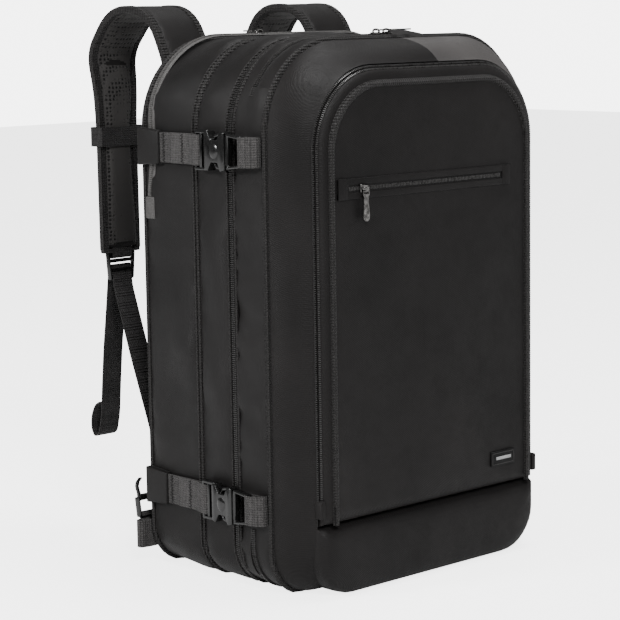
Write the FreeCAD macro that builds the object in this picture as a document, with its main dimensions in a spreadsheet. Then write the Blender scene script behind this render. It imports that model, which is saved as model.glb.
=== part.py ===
import FreeCAD, Part
import math
import os
import re
from types import SimpleNamespace

import Sketcher

# Travel backpack, millimetres. +Z up, -Y is the front, +X to the wearer's right.
# The origin is on the floor, under the middle of the bag's body.

Vector = FreeCAD.Vector
doc = FreeCAD.newDocument("travel_backpack")

driving = {
    # body of the bag
    "bag_width": 345,
    "bag_height": 525,
    "top_radius": 88,
    "bottom_radius": 45,
    "fabric": 4,
    "back_y": 90,
    "rear_depth": 72,
    "bead_depth": 8,
    "bead_proud": 2,
    "mid_depth": 45,
    "zip_depth": 3,
    "zip_proud": 0.8,
    "part_gap": 0.4,
    "strip_depth": 16.6,
    "lid_depth": 19.6,
    "edge_bead_depth": 4,
    "hinge_strip_low": 62,
    "hinge_strip_high": 474,
    "expansion_travel": 50,
    "sleeve_wall": 2,
    "sleeve_gap": 1,
    "cutter_reach": 20,
    # rear compartment
    "rear_zip_y": 78,
    "rear_zip_width": 6,
    "rear_zip_low": 365,
    "divider_y": 52,
    "divider_thick": 3,
    "stiffener_thick": 2,
    "stiffener_gap": 1,
    "stiffener_inset": 16,
    # front pocket
    "pocket_width": 300,
    "pocket_top": 500,
    "pocket_radius": 78,
    "pocket_depth": 38.6,
    "pocket_edge": 7,
    "pocket_rim_width": 8,
    "base_seam": 70,
    "hinge_gap": 2,
    "slit_middle": 388,
    "slit_left": 128,
    "slit_right": 108,
    "slit_height": 12,
    "slit_opening": 5,
    "slit_end": 4,
    "slit_proud": 1.2,
    "pouch_drop": 130,
    "pouch_thick": 3,
    "label_x": 79,
    "label_z": 94,
    "label_width": 35,
    "label_height": 15,
    "label_thick": 0.8,
    # compression straps and their buckles
    "webbing_width": 30,
    "webbing_thick": 1.6,
    "upper_strap_z": 423,
    "lower_strap_z": 84,
    "anchor_front": 62,
    "anchor_thick": 6,
    "anchor_margin": 4,
    "buckle_front": -48,
    "housing_length": 28,
    "ladder_length": 19,
    "buckle_height": 38,
    "buckle_thick": 10,
    "buckle_wall": 2.2,
    "prong_length": 14,
    "prong_thick": 2.4,
    "loop_length": 22,
    "loop_bar": 3,
    "loop_root": 6,
    "loop_trim": 1.2,
    "prong_arm": 3.5,
    "prong_gap": 0.6,
    "prong_low_gap": 0.5,
    "tongue_short": 3,
    "seat_gap": 0.3,
    "tab_front": -84,
    "tab_foot": 8,
    "tab_skin": 0.8,
    "tab_slot_gap": 0.4,
    # shoulder straps
    "strap_spacing": 206,
    "strap_width": 62,
    "strap_thick": 13,
    "strap_root_z": 440,
    "strap_peak_rise": 31,
    "strap_back_y": 214,
    "strap_end_z": 305,
    "strap_bend": 30,
    "ladder_lock_width": 36,
    "ladder_lock_height": 30,
    "ladder_lock_thick": 6,
    "ladder_lock_bar": 4,
    "ladder_lock_slot": 7.5,
    "lower_web_width": 25,
    "lower_web_clear": 4,
    "lower_anchor_x": 150,
    "lower_anchor_z": 122,
    "tail_low_z": 125,
    "tail_fold": 30,
    "lower_anchor_half": 15,
    "lower_anchor_depth": 8,
    "lower_anchor_below": 16,
    "lower_anchor_above": 12,
    "strap_shoulder_drop": 25,
    "strap_rise": 35,
    "strap_fall": 28,
    "strap_back_gap": 0.5,
    "sternum_z": 425,
    "keeper_height": 22,
    "keeper_wall": 2.5,
    "keeper_gap": 0.6,
    "sternum_web_width": 20,
    "sternum_buckle_height": 26,
    # back
    "pad_thick": 12,
    "pad_inner_x": 16,
    "pad_outer_x": 108,
    "pad_low_z": 124,
    "pad_high_z": 428,
    "lumbar_half": 120,
    "lumbar_low_z": 60,
    "lumbar_high_z": 114,
    "handle_half": 55,
    "handle_reach": 20,
    "handle_z": 480,
    "handle_height": 24,
    "handle_thick": 6,
    "belt_low_z": 18,
    "belt_high_z": 46,
    "belt_reach": 186,
    "belt_fold": 13,
    "belt_near": 50,
    "belt_gap": 0.5,
    "hip_buckle_inset": 20,
    "hip_buckle_gap": 1,
    "hip_buckle_seat": 8,
    # zip sliders and pulls
    "slider_length": 10,
    "slider_width": 8,
    "slider_thick": 2.6,
    "slider_lift": 1.2,
    "bridge_height": 5,
    "bridge_pin_radius": 0.9,
    "knuckle_radius": 2.2,
    "knuckle_hole_radius": 1.25,
    "knuckle_width": 4.4,
    "pull_thick": 1.6,
    "pull_width": 8.5,
    "long_pull": 31,
    "short_pull": 20,
    "slit_pull": 30,
    # how high each pull's tip rests above its zip
    "high_rest": 3.4,
    "low_rest": 2,
    "post_gap": 0.5,
    "post_half": 2,
    "bridge_cap": 0.4,
    # where each slider stands when its zip is closed
    "main_slider_a_x": -2,
    "main_slider_b_x": 12,
    "pocket_slider_a_x": 18,
    "pocket_slider_b_x": 47,
    "slit_slider_x": -96,
    "laptop_slider_x": -30,
    "expansion_slider_z": 300,
}

sheet = doc.addObject("Spreadsheet::Sheet", "dims")
for row, (alias, number) in enumerate(driving.items(), start=1):
    sheet.set(f"A{row}", alias)
    sheet.set(f"B{row}", str(number))
    sheet.setAlias(f"B{row}", alias)
doc.recompute()


class Size:
    """A length that carries its number together with its spreadsheet formula."""

    def __init__(self, value, text):
        self.value = value
        self.text = text

    def join(self, sign, other, result):
        return Size(result, f"({self.text} {sign} {other.text})")

    def __add__(self, other):
        other = as_size(other)
        return self.join("+", other, self.value + other.value)

    def __sub__(self, other):
        other = as_size(other)
        return self.join("-", other, self.value - other.value)

    def __mul__(self, factor):
        factor = as_size(factor)
        return self.join("*", factor, self.value * factor.value)

    def __truediv__(self, factor):
        factor = as_size(factor)
        return self.join("/", factor, self.value / factor.value)

    def __radd__(self, other):
        return as_size(other) + self

    def __rsub__(self, other):
        return as_size(other) - self

    def __rmul__(self, other):
        return as_size(other) * self

    def __neg__(self):
        return as_size(0) - self

    def __float__(self):
        return float(self.value)


def as_size(value):
    return value if isinstance(value, Size) else Size(float(value), f"{float(value):.6f}")


size = SimpleNamespace(**{name: Size(float(sheet.get(name)), f"dims.{name}") for name in driving})
nodes = []

# ---- stations along Y, from the back of the bag to the front of the pocket ----
half_width = size.bag_width / 2
panel_y = size.back_y - size.fabric
seam_y = panel_y - size.rear_depth
mid_y = seam_y - size.bead_depth
expansion_y = mid_y - size.mid_depth
expansion_part_y = expansion_y - size.zip_depth
frame_y = expansion_part_y - size.part_gap
strip_y = frame_y - size.zip_depth
main_zip_y = strip_y - size.strip_depth
main_part_y = main_zip_y - size.zip_depth
lid_y = main_part_y - size.part_gap
lid_gusset_y = lid_y - size.zip_depth
edge_bead_y = lid_gusset_y - size.lid_depth
front_panel_y = edge_bead_y - size.edge_bead_depth
front_y = front_panel_y - size.fabric
rim_y = front_y - size.zip_depth
flap_y = rim_y - size.part_gap
pocket_y = flap_y - size.pocket_depth
strap_lift = size.bead_proud + 0.4
side_share = 0.7  # side bars of a male half's loop, as a share of its end bar


# ---- helpers: expressions, sketches, boxes ----
def bind(item, place, length):
    item.setExpression(place, as_size(length).text)


def named(item, label):
    item.Label = label
    nodes.append(item)
    return item


def put(item, x=0, y=0, z=0, turn=None):
    """Place a sub-part; each coordinate follows the sheet."""
    values = [as_size(value) for value in (x, y, z)]
    rotation = turn if turn is not None else FreeCAD.Rotation()
    item.Placement = FreeCAD.Placement(Vector(*[value.value for value in values]), rotation)
    for axis, value in zip("xyz", values):
        item.setExpression(f".Placement.Base.{axis}", value.text)


def origin_plane(body, role):
    return next(plane for plane in body.Origin.OriginFeatures if plane.Role == role)


def outline(sketch, half, bottom, top, low_radius=None, high_radius=None):
    """Closed outline, symmetric about the vertical axis; no radius means square corners."""
    half, bottom, top = as_size(half), as_size(bottom), as_size(top)
    low = as_size(low_radius if low_radius is not None else 0).value
    high = as_size(high_radius if high_radius is not None else 0).value
    x, low_z, high_z = half.value, bottom.value, top.value
    quarter = math.pi / 2

    def line(x0, z0, x1, z1):
        return sketch.addGeometry(Part.LineSegment(Vector(x0, z0, 0), Vector(x1, z1, 0)), False)

    def arc(x0, z0, radius, start):
        circle = Part.Circle(Vector(x0, z0, 0), Vector(0, 0, 1), radius)
        return sketch.addGeometry(Part.ArcOfCircle(circle, start, start + quarter), False)

    bottom_line = line(-x + low, low_z, x - low, low_z)
    right_line = line(x, low_z + low, x, high_z - high)
    top_line = line(x - high, high_z, -x + high, high_z)
    left_line = line(-x, high_z - high, -x, low_z + low)
    rounds = {}
    if low_radius is not None:
        rounds["low"] = (arc(x - low, low_z + low, low, -quarter),
                         arc(-x + low, low_z + low, low, 2 * quarter))
    if high_radius is not None:
        rounds["high"] = (arc(x - high, high_z - high, high, 0),
                          arc(-x + high, high_z - high, high, quarter))
    corners = [
        (bottom_line, right_line, rounds.get("low", (None, None))[0]),
        (right_line, top_line, rounds.get("high", (None, None))[0]),
        (top_line, left_line, rounds.get("high", (None, None))[1]),
        (left_line, bottom_line, rounds.get("low", (None, None))[1]),
    ]
    for before, after, bend in corners:
        if bend is None:
            sketch.addConstraint(Sketcher.Constraint("Coincident", before, 2, after, 1))
        else:
            sketch.addConstraint(Sketcher.Constraint("Tangent", before, 2, bend, 1))
            sketch.addConstraint(Sketcher.Constraint("Tangent", bend, 2, after, 1))
    for flat in (bottom_line, top_line):
        sketch.addConstraint(Sketcher.Constraint("Horizontal", flat))
    for upright in (right_line, left_line):
        sketch.addConstraint(Sketcher.Constraint("Vertical", upright))

    def driven(name, constraint, length):
        index = sketch.addConstraint(constraint)
        label = f"{name}_{index}"
        sketch.renameConstraint(index, label)
        sketch.setExpression(f"Constraints.{label}", as_size(length).text)

    for name, (first, second) in rounds.items():
        radius = low_radius if name == "low" else high_radius
        sketch.addConstraint(Sketcher.Constraint("Equal", first, second))
        driven(f"{name}_radius", Sketcher.Constraint("Radius", first, as_size(radius).value), radius)
    driven("right", Sketcher.Constraint("DistanceX", -1, 1, right_line, 1, x), half)
    driven("left", Sketcher.Constraint("DistanceX", left_line, 1, -1, 1, x), half)
    driven("top", Sketcher.Constraint("DistanceY", -1, 1, top_line, 1, high_z), top)
    if low_z:
        driven("bottom", Sketcher.Constraint("DistanceY", -1, 1, bottom_line, 1, low_z), bottom)
    else:
        sketch.addConstraint(Sketcher.Constraint("PointOnObject", bottom_line, 1, -1))


def front_sketch(body, name, outlines):
    """Sketch on the body's XZ plane, whose normal points to the bag's front."""
    sketch = body.newObject("Sketcher::SketchObject", name)
    sketch.AttachmentSupport = [(origin_plane(body, "XZ_Plane"), "")]
    sketch.MapMode = "FlatFace"
    for values in outlines:
        outline(sketch, **values)
    return sketch


def slab(name, y, depth, outlines):
    """Pad one outline, or the band between two, from station y towards the front."""
    body = doc.addObject("PartDesign::Body", name)
    sketch = front_sketch(body, f"{name}_profile", outlines)
    pad = body.newObject("PartDesign::Pad", f"{name}_pad")
    pad.Profile = sketch
    bind(pad, "Length", depth)
    put(body, y=y)
    doc.recompute()
    return body, pad


def bag_outline(grow=0, inset=0):
    """Outline of the bag: grown at the sides and top only, or inset all round."""
    grow, inset = as_size(grow), as_size(inset)
    return {
        "half": half_width + grow - inset,
        "bottom": inset if inset.value else 0,
        "top": size.bag_height + grow - inset,
        "low_radius": size.bottom_radius - inset,
        "high_radius": size.top_radius + grow - inset,
    }


def bag_ring(name, y, depth, grow=0):
    return slab(name, y, depth, [bag_outline(grow), bag_outline(0, size.fabric)])[0]


def box(name, x0, x1, y0, y1, z0, z1):
    item = doc.addObject("Part::Box", name)
    for prop, low, high in (("Length", x0, x1), ("Width", y0, y1), ("Height", z0, z1)):
        bind(item, prop, as_size(high) - low)
    put(item, x0, y0, z0)
    return item


def joined(name, spans, kind="Part::MultiFuse"):
    boxes = [box(f"{name}_block_{index}", *span) for index, span in enumerate(spans, start=1)]
    if len(boxes) == 1:
        return boxes[0]
    group = doc.addObject(kind, name)
    if kind == "Part::Compound":
        group.Links = boxes
    else:
        group.Shapes = boxes
    return group


def group_of(name, items):
    group = doc.addObject("Part::Compound", name)
    group.Links = items
    return group


def cut(name, base, tool):
    result = doc.addObject("Part::Cut", name)
    result.Base = base
    result.Tool = tool
    return result


def common(name, base, tool):
    result = doc.addObject("Part::Common", name)
    result.Base = base
    result.Tool = tool
    return result


def blocks(name, plus, minus=None):
    """Boxes fused together, less other boxes."""
    solid = joined(f"{name}_solid", plus)
    return solid if minus is None else cut(name, solid, joined(f"{name}_gap", minus))


def strap_along(name, route, bend, thick, width):
    """Flat strap: a route of (y, z) points with rounded bends, extruded along +X."""
    points = [Vector(0, y, z) for y, z in route]
    across = Vector(1, 0, 0)
    runs = [(after - before).normalize() for before, after in zip(points, points[1:])]
    trims = [0.0]
    for before, after in zip(runs, runs[1:]):
        trims.append(bend * math.tan(before.getAngle(after) / 2))
    trims.append(0.0)

    def edges(side):
        found = []
        for index, run in enumerate(runs):
            shift = across.cross(run) * side
            start = points[index] + run * trims[index] + shift
            end = points[index + 1] - run * trims[index + 1] + shift
            found.append(Part.LineSegment(start, end).toShape())
            if index + 1 < len(runs):
                following = runs[index + 1]
                middle_run = (run + following).normalize()
                inward = (following - run).normalize()
                turn = run.getAngle(following) / 2
                centre = points[index + 1] + inward * (bend / math.cos(turn))
                middle = centre - inward * bend + across.cross(middle_run) * side
                arc_end = points[index + 1] + following * trims[index + 1] + across.cross(following) * side
                found.append(Part.Arc(end, middle, arc_end).toShape())
        return found

    left, right = edges(thick / 2), edges(-thick / 2)
    caps = [
        Part.LineSegment(left[0].firstVertex().Point, right[0].firstVertex().Point).toShape(),
        Part.LineSegment(left[-1].lastVertex().Point, right[-1].lastVertex().Point).toShape(),
    ]
    wire = Part.Wire(Part.sortEdges(left + right + caps)[0])
    item = doc.addObject("Part::Feature", name)
    item.Shape = Part.Face(wire).extrude(Vector(width, 0, 0))
    return item


# ---- rear shell ----
def rear_shell():
    back_panel, _ = slab("back_panel_body", size.back_y, size.fabric, [bag_outline()])
    named(back_panel, "back_panel")
    stiffener_y = panel_y - size.stiffener_gap
    inset = size.fabric + size.stiffener_inset
    stiffener, _ = slab("back_stiffener_body", stiffener_y, size.stiffener_thick, [bag_outline(0, inset)])
    named(stiffener, "back_stiffener")

    # the rear zip runs over the arch only, from the same height on both sides
    def over_arch(name):
        reach = half_width + size.cutter_reach
        return box(name, -reach, reach, size.rear_zip_y - size.rear_zip_width, size.rear_zip_y,
                   size.rear_zip_low, size.bag_height + size.cutter_reach)

    gusset = bag_ring("rear_gusset_ring", panel_y, size.rear_depth)
    named(cut("rear_gusset", gusset, over_arch("rear_gusset_slot")), "rear_gusset")
    zip_ring = bag_ring("laptop_zip_ring", size.rear_zip_y, size.rear_zip_width, size.zip_proud)
    named(common("laptop_zip", zip_ring, over_arch("laptop_zip_reach")), "laptop_zip")
    named(bag_ring("rear_piping_body", seam_y, size.bead_depth, size.bead_proud), "rear_piping")
    named(bag_ring("mid_gusset_body", mid_y, size.mid_depth), "mid_gusset")
    expansion_ring = bag_ring("expansion_zip_rear_body", expansion_y, size.zip_depth, size.zip_proud)
    named(expansion_ring, "expansion_zip_rear")
    divider, _ = slab("laptop_divider_body", size.divider_y, size.divider_thick,
                      [bag_outline(0, size.fabric)])
    named(divider, "laptop_divider")


# ---- expanding frame: everything between the expansion zip and the main zip ----
def hinge_strip_box(name, clearance):
    """The part of the left wall that is the cloth hinge of the lid."""
    reach = half_width + size.cutter_reach
    return box(name, -reach, -half_width + size.top_radius / 2, edge_bead_y - 1, main_zip_y,
               size.hinge_strip_low - clearance, size.hinge_strip_high + clearance)


def expanding_frame():
    strip_ring = bag_ring("front_strip_ring", strip_y, size.strip_depth)
    hinge_ring = bag_ring("hinge_strip_ring", main_zip_y, main_zip_y - edge_bead_y - size.part_gap)
    hinge = common("hinge_strip", hinge_ring, hinge_strip_box("hinge_strip_reach", 0))
    whole = doc.addObject("Part::MultiFuse", "front_strip")
    whole.Shapes = [strip_ring, hinge]
    named(whole, "front_strip")
    expansion_ring = bag_ring("expansion_zip_front_body", frame_y, size.zip_depth, size.zip_proud)
    named(expansion_ring, "expansion_zip_front")
    main_ring = bag_ring("main_zip_rear_ring", main_zip_y, size.zip_depth, size.zip_proud)
    named(cut("main_zip_rear", main_ring, hinge_strip_box("main_zip_rear_gap", 0)), "main_zip_rear")
    # the folded expansion gusset is a sleeve that slides inside the mid gusset
    outer = size.fabric + size.sleeve_gap
    length = size.expansion_travel + size.zip_depth
    sleeve, _ = slab("expansion_sleeve_tube", frame_y + length, length,
                     [bag_outline(0, outer), bag_outline(0, outer + size.sleeve_wall)])
    collar, _ = slab("expansion_sleeve_collar", strip_y - 1, size.sleeve_wall,
                     [bag_outline(0, size.fabric), bag_outline(0, outer + size.sleeve_wall)])
    neck, _ = slab("expansion_sleeve_neck", frame_y, size.zip_depth + 1,
                   [bag_outline(0, outer), bag_outline(0, outer + size.sleeve_wall)])
    sleeve_whole = doc.addObject("Part::MultiFuse", "expansion_sleeve")
    sleeve_whole.Shapes = [sleeve, neck, collar]
    named(sleeve_whole, "expansion_sleeve")


# ---- clamshell lid ----
def round_front(body, base, radius, parting):
    """Round the front face's edges, except the straight one on the parting line."""
    face = min(base.Shape.Faces, key=lambda item: item.CenterOfMass.y)
    chosen = []
    for index, edge in enumerate(base.Shape.Edges, start=1):
        on_face = any(edge.isSame(other) for other in face.Edges)
        heights = [vertex.Point.z for vertex in edge.Vertexes]
        on_parting = all(abs(height - parting) < 0.01 for height in heights)
        if on_face and not on_parting:
            chosen.append(f"Edge{index}")
    fillet = body.newObject("PartDesign::Fillet", f"{body.Name}_rounding")
    fillet.Base = (base, chosen)
    bind(fillet, "Radius", radius)
    doc.recompute()
    return fillet


def hollow(body, depth, inner):
    """Open the back of a tray."""
    before = body.Shape.Volume
    sketch = front_sketch(body, f"{body.Name}_hollow_profile", [inner])
    pocket = body.newObject("PartDesign::Pocket", f"{body.Name}_hollow")
    pocket.Profile = sketch
    pocket.Reversed = True
    bind(pocket, "Length", depth)
    doc.recompute()
    assert body.Shape.Volume < before * 0.6, f"{body.Name}: the hollow cut nothing"


def pocket_outline(inset=0, bottom=None, top_drop=0):
    inset = as_size(inset)
    return {
        "half": size.pocket_width / 2 - inset,
        "bottom": bottom,
        "top": size.pocket_top - inset - top_drop,
        "high_radius": size.pocket_radius - inset,
    }


def lid():
    gusset_ring = bag_ring("lid_gusset_ring", lid_gusset_y, size.lid_depth)
    gap = hinge_strip_box("lid_gusset_gap", size.part_gap)
    named(cut("lid_gusset", gusset_ring, gap), "lid_gusset")
    zip_ring = bag_ring("main_zip_front_ring", lid_y, size.zip_depth, size.zip_proud)
    zip_gap = hinge_strip_box("main_zip_front_gap", size.part_gap)
    named(cut("main_zip_front", zip_ring, zip_gap), "main_zip_front")
    named(bag_ring("front_piping_body", edge_bead_y, size.edge_bead_depth, size.bead_proud), "front_piping")
    panel, _ = slab("front_panel_body", front_panel_y, size.fabric, [bag_outline()])
    named(panel, "front_panel")
    rim_bottom = size.base_seam + size.hinge_gap
    rim_outlines = [pocket_outline(0, rim_bottom),
                    pocket_outline(size.pocket_rim_width, rim_bottom + size.fabric)]
    rim, _ = slab("pocket_rim_body", front_y, size.zip_depth, rim_outlines)
    named(rim, "pocket_rim")
    base, pad = slab("front_base_body", front_y, front_y - pocket_y,
                     [{"half": size.pocket_width / 2, "bottom": 0, "top": size.base_seam,
                       "low_radius": size.bottom_radius}])
    round_front(base, pad, size.pocket_edge, float(size.base_seam))
    hollow(base, front_y - pocket_y - size.fabric,
           {"half": size.pocket_width / 2 - size.fabric, "bottom": size.fabric, "top": size.base_seam + 5,
            "low_radius": size.bottom_radius - size.fabric})
    named(base, "front_base_panel")


# ---- front pocket ----
def front_pocket():
    bottom = size.base_seam + size.hinge_gap
    flap, pad = slab("pocket_flap_body", flap_y, size.pocket_depth, [pocket_outline(1, bottom)])
    round_front(flap, pad, size.pocket_edge, bottom.value)
    hollow(flap, size.pocket_depth - size.fabric, pocket_outline(size.fabric + 1, bottom - 5))
    slot = box("slit_opening", -size.slit_left + size.slit_end, size.slit_right - size.slit_end,
               pocket_y - 1, pocket_y + size.fabric + 1,
               size.slit_middle - size.slit_opening / 2, size.slit_middle + size.slit_opening / 2)
    named(cut("pocket_flap", flap, slot), "pocket_flap")
    tape = box("slit_zip", -size.slit_left, size.slit_right, pocket_y - size.slit_proud, pocket_y,
               size.slit_middle - size.slit_height / 2, size.slit_middle + size.slit_height / 2)
    named(tape, "slit_zip")
    pouch_y = pocket_y + size.fabric
    pouch = box("slit_pouch", -size.slit_left, size.slit_right, pouch_y, pouch_y + size.pouch_thick,
                size.slit_middle - size.pouch_drop, size.slit_middle + size.slit_height)
    named(pouch, "slit_pouch")
    label = box("front_label", size.label_x, size.label_x + size.label_width,
                pocket_y - size.label_thick, pocket_y, size.label_z, size.label_z + size.label_height)
    named(label, "front_label")


# ---- side-release buckle: x is outward from the webbing, y along it, z across it ----
def buckle_female(name, height, place):
    half = height / 2
    inner = half - size.buckle_wall
    thick, wall, length = size.buckle_thick, size.buckle_wall, size.housing_length
    bar = size.loop_bar
    frame_thick = thick * 0.6
    rear = length + size.ladder_length
    item = blocks(
        name,
        [(0, thick, 0, length, -half, half), (0, frame_thick, length, rear, -half, half)],
        [(wall, thick - wall, -1, length - wall * 2, -inner, inner),
         (wall + 0.4, thick - wall - 0.4, wall * 3, length - wall * 3, -half - 1, half + 1),
         (-1, thick, length + bar, length + size.ladder_length / 2 - bar / 2, -inner, inner),
         (-1, thick, length + size.ladder_length / 2 + bar / 2, rear - bar, -inner, inner)],
    )
    put(item, *place["at"], turn=place["turn"])
    return named(item, name)


def buckle_male(name, height, place):
    half = height / 2 - size.buckle_wall
    reach = half - size.prong_gap
    front, bar, trim = size.loop_length, size.loop_bar, size.loop_trim
    low = size.buckle_wall + size.prong_low_gap
    high = low + size.prong_thick
    prong, arm = size.prong_length, size.prong_arm
    item = blocks(
        name,
        [(trim, size.buckle_thick - trim, -front, -1, -half, half),
         (low, high, -bar, prong, reach - arm, reach),
         (low, high, -bar, prong, -reach, -reach + arm),
         (low, high, -bar, prong - size.tongue_short, -arm / 2, arm / 2)],
        [(-1, size.buckle_thick + 1, -front + bar, -size.loop_root, -half + bar * side_share,
          half - bar * side_share)],
    )
    put(item, *place["at"], turn=place["turn"])
    return named(item, name)


def webbing_loop(name, width, reach):
    """Webbing folded round the male half's bar and sewn down at its far end (box less slot)."""
    bar_y = -size.loop_length
    skin, gap = size.tab_skin, size.tab_slot_gap
    high = size.buckle_thick - gap
    bar_end = bar_y + size.loop_bar + gap
    return blocks(
        name,
        [(0, high, -reach, bar_end + skin, -width / 2, width / 2)],
        [(skin, high - skin, bar_y - gap, bar_end, -width, width)],
    )


def side_place(side, z):
    """Seat on the webbing of one side, at the parting face of the two buckle halves."""
    out = half_width + strap_lift + size.webbing_thick + size.seat_gap
    turn = FreeCAD.Rotation() if side > 0 else FreeCAD.Rotation(Vector(0, 1, 0), 180)
    return {"at": (out * side, size.buckle_front, z), "turn": turn}


def compression_straps():
    sides = {"left": -1, "right": 1}
    levels = {"upper": size.upper_strap_z, "lower": size.lower_strap_z}
    webbings, anchors = [], []
    half_web = size.webbing_width / 2
    window = size.buckle_height - size.buckle_wall * 2 - size.loop_bar * (side_share * 2)
    loop_width = window - 0.5
    for side_name, side in sides.items():
        loops = []
        for level_name, level in levels.items():
            where = f"{level_name}_{side_name}"
            inner = (half_width + strap_lift) * side
            outer = inner + size.webbing_thick * side
            low_x, high_x = (inner, outer) if side > 0 else (outer, inner)
            webbings.append(box(f"webbing_{where}", low_x, high_x, size.buckle_front, size.anchor_front,
                                level - half_web, level + half_web))
            skin = half_width * side
            cap = skin + size.anchor_thick * side
            low_x, high_x = (skin, cap) if side > 0 else (cap, skin)
            low_z, high_z = level - half_web - size.anchor_margin, level + half_web + size.anchor_margin
            # the tab bridges the rear zip, which runs through a shallow channel on its skin side
            depth = (half_width + size.zip_proud * 1.5) * side
            channel = (depth, skin - side) if side < 0 else (skin - side, depth)
            zip_front, zip_back = size.rear_zip_y - size.rear_zip_width - 1, size.rear_zip_y + 1
            anchors.append(blocks(
                f"anchor_{where}", [(low_x, high_x, size.anchor_front, size.back_y, low_z, high_z)],
                [(*channel, zip_front, zip_back, low_z - 1, high_z + 1)]))
            place = side_place(side, level)
            buckle_female(f"strap_female_{where}", size.buckle_height, place)
            buckle_male(f"strap_male_{where}", size.buckle_height, place)
            reach = size.buckle_front - size.tab_front
            loop = webbing_loop(f"tab_{where}", loop_width, reach)
            put(loop, *place["at"], turn=place["turn"])
            foot_rise = strap_lift + size.webbing_thick + size.seat_gap + size.tab_skin
            foot_high = (half_width + foot_rise) * side
            low_x, high_x = (skin, foot_high) if side > 0 else (foot_high, skin)
            foot = box(f"tab_foot_{where}", low_x, high_x, size.tab_front, size.tab_front + size.tab_foot,
                       level - half_web, level + half_web)
            tab = doc.addObject("Part::MultiFuse", f"tab_sewn_{where}")
            tab.Shapes = [loop, foot]
            loops.append(tab)
        named(group_of(f"{side_name}_strap_tabs", loops), f"{side_name}_strap_tabs")
    named(group_of("compression_webbings", webbings), "compression_webbings")
    # small tabs that hold the lower ends of the shoulder straps
    for side in (-1, 1):
        middle = size.lower_anchor_x * side
        anchors.append(box(f"lower_anchor_{side + 2}", middle - size.lower_anchor_half,
                           middle + size.lower_anchor_half,
                           size.back_y, size.back_y + size.lower_anchor_depth,
                           size.lower_anchor_z - size.lower_anchor_below,
                           size.lower_anchor_z + size.lower_anchor_above))
    named(group_of("anchor_tabs", anchors), "anchor_tabs")


# ---- shoulder straps, sternum strap, back ----
def shoulder_straps():
    thick = size.strap_thick.value
    near = size.back_y.value + thick / 2 + size.strap_back_gap.value
    far = size.strap_back_y.value
    peak = (size.bag_height + size.strap_peak_rise).value
    shoulder = size.bag_height.value - size.strap_shoulder_drop.value
    route = [(near, size.strap_root_z.value), (near, shoulder), (near + size.strap_rise.value, peak),
             (far - size.strap_fall.value, peak), (far, shoulder), (far, size.strap_end_z.value)]
    locks, webs = [], []
    for side_name, side in (("left", -1), ("right", 1)):
        strap = strap_along(f"shoulder_strap_{side_name}", route, size.strap_bend.value, thick,
                            size.strap_width.value)
        put(strap, size.strap_spacing / 2 * side - size.strap_width / 2, 0, 0)
        named(strap, f"shoulder_strap_{side_name}")
        centre = size.strap_spacing / 2 * side
        half_lock, lock = size.ladder_lock_width / 2, size.ladder_lock_thick
        top = size.strap_end_z - 1
        low = top - size.ladder_lock_height
        bar, opening = size.ladder_lock_bar, size.ladder_lock_slot
        y0 = size.strap_back_y - lock / 2
        y1 = y0 + lock
        slot = size.lower_web_width / 2 + 1
        locks.append(blocks(f"ladder_lock_{side_name}",
                            [(centre - half_lock, centre + half_lock, y0, y1, low, top)],
                            [(centre - slot, centre + slot, y0 - 1, y1 + 1, low + bar, low + bar + opening),
                             (centre - slot, centre + slot, y0 - 1, y1 + 1, low + bar * 2 + opening,
                              low + bar * 2 + opening * 2)]))
        webs.append(lower_webbing(side_name, side, centre.value, low.value))
        half_tail = size.lower_web_width / 2
        tail_y = size.strap_back_y + lock / 2 + 1
        webs.append(box(f"tail_{side_name}", centre - half_tail, centre + half_tail, tail_y,
                        tail_y + size.webbing_thick, size.tail_low_z, top - bar))
        fold_y = tail_y + size.webbing_thick
        webs.append(box(f"tail_fold_{side_name}", centre - half_tail, centre + half_tail, fold_y,
                        fold_y + size.webbing_thick, size.tail_low_z, size.tail_low_z + size.tail_fold))
    named(group_of("ladder_locks", locks), "ladder_locks")
    named(group_of("lower_webbings", webs), "lower_webbings")


def lower_webbing(side_name, side, centre_x, lock_low):
    """Straight slanted run from the ladder lock to the tab on the back's lower side."""
    start = Vector(centre_x, size.strap_back_y.value, lock_low - size.lower_web_clear.value)
    end_y = (size.back_y + size.lower_anchor_depth + size.webbing_thick * 1.5).value
    end = Vector(size.lower_anchor_x.value * side, end_y, size.lower_anchor_z.value)
    along = (start - end).normalize()
    across = (Vector(1, 0, 0) - along * along.x).normalize()
    face = along.cross(across)
    width, thick = size.lower_web_width.value, size.webbing_thick.value
    item = doc.addObject("Part::Feature", f"lower_webbing_{side_name}")
    item.Shape = Part.makeBox(width, thick, (start - end).Length, Vector(-width / 2, -thick / 2, 0))
    matrix = FreeCAD.Matrix(across.x, face.x, along.x, end.x, across.y, face.y, along.y, end.y,
                            across.z, face.z, along.z, end.z, 0, 0, 0, 1)
    item.Placement = FreeCAD.Placement(matrix)
    return item


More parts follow.
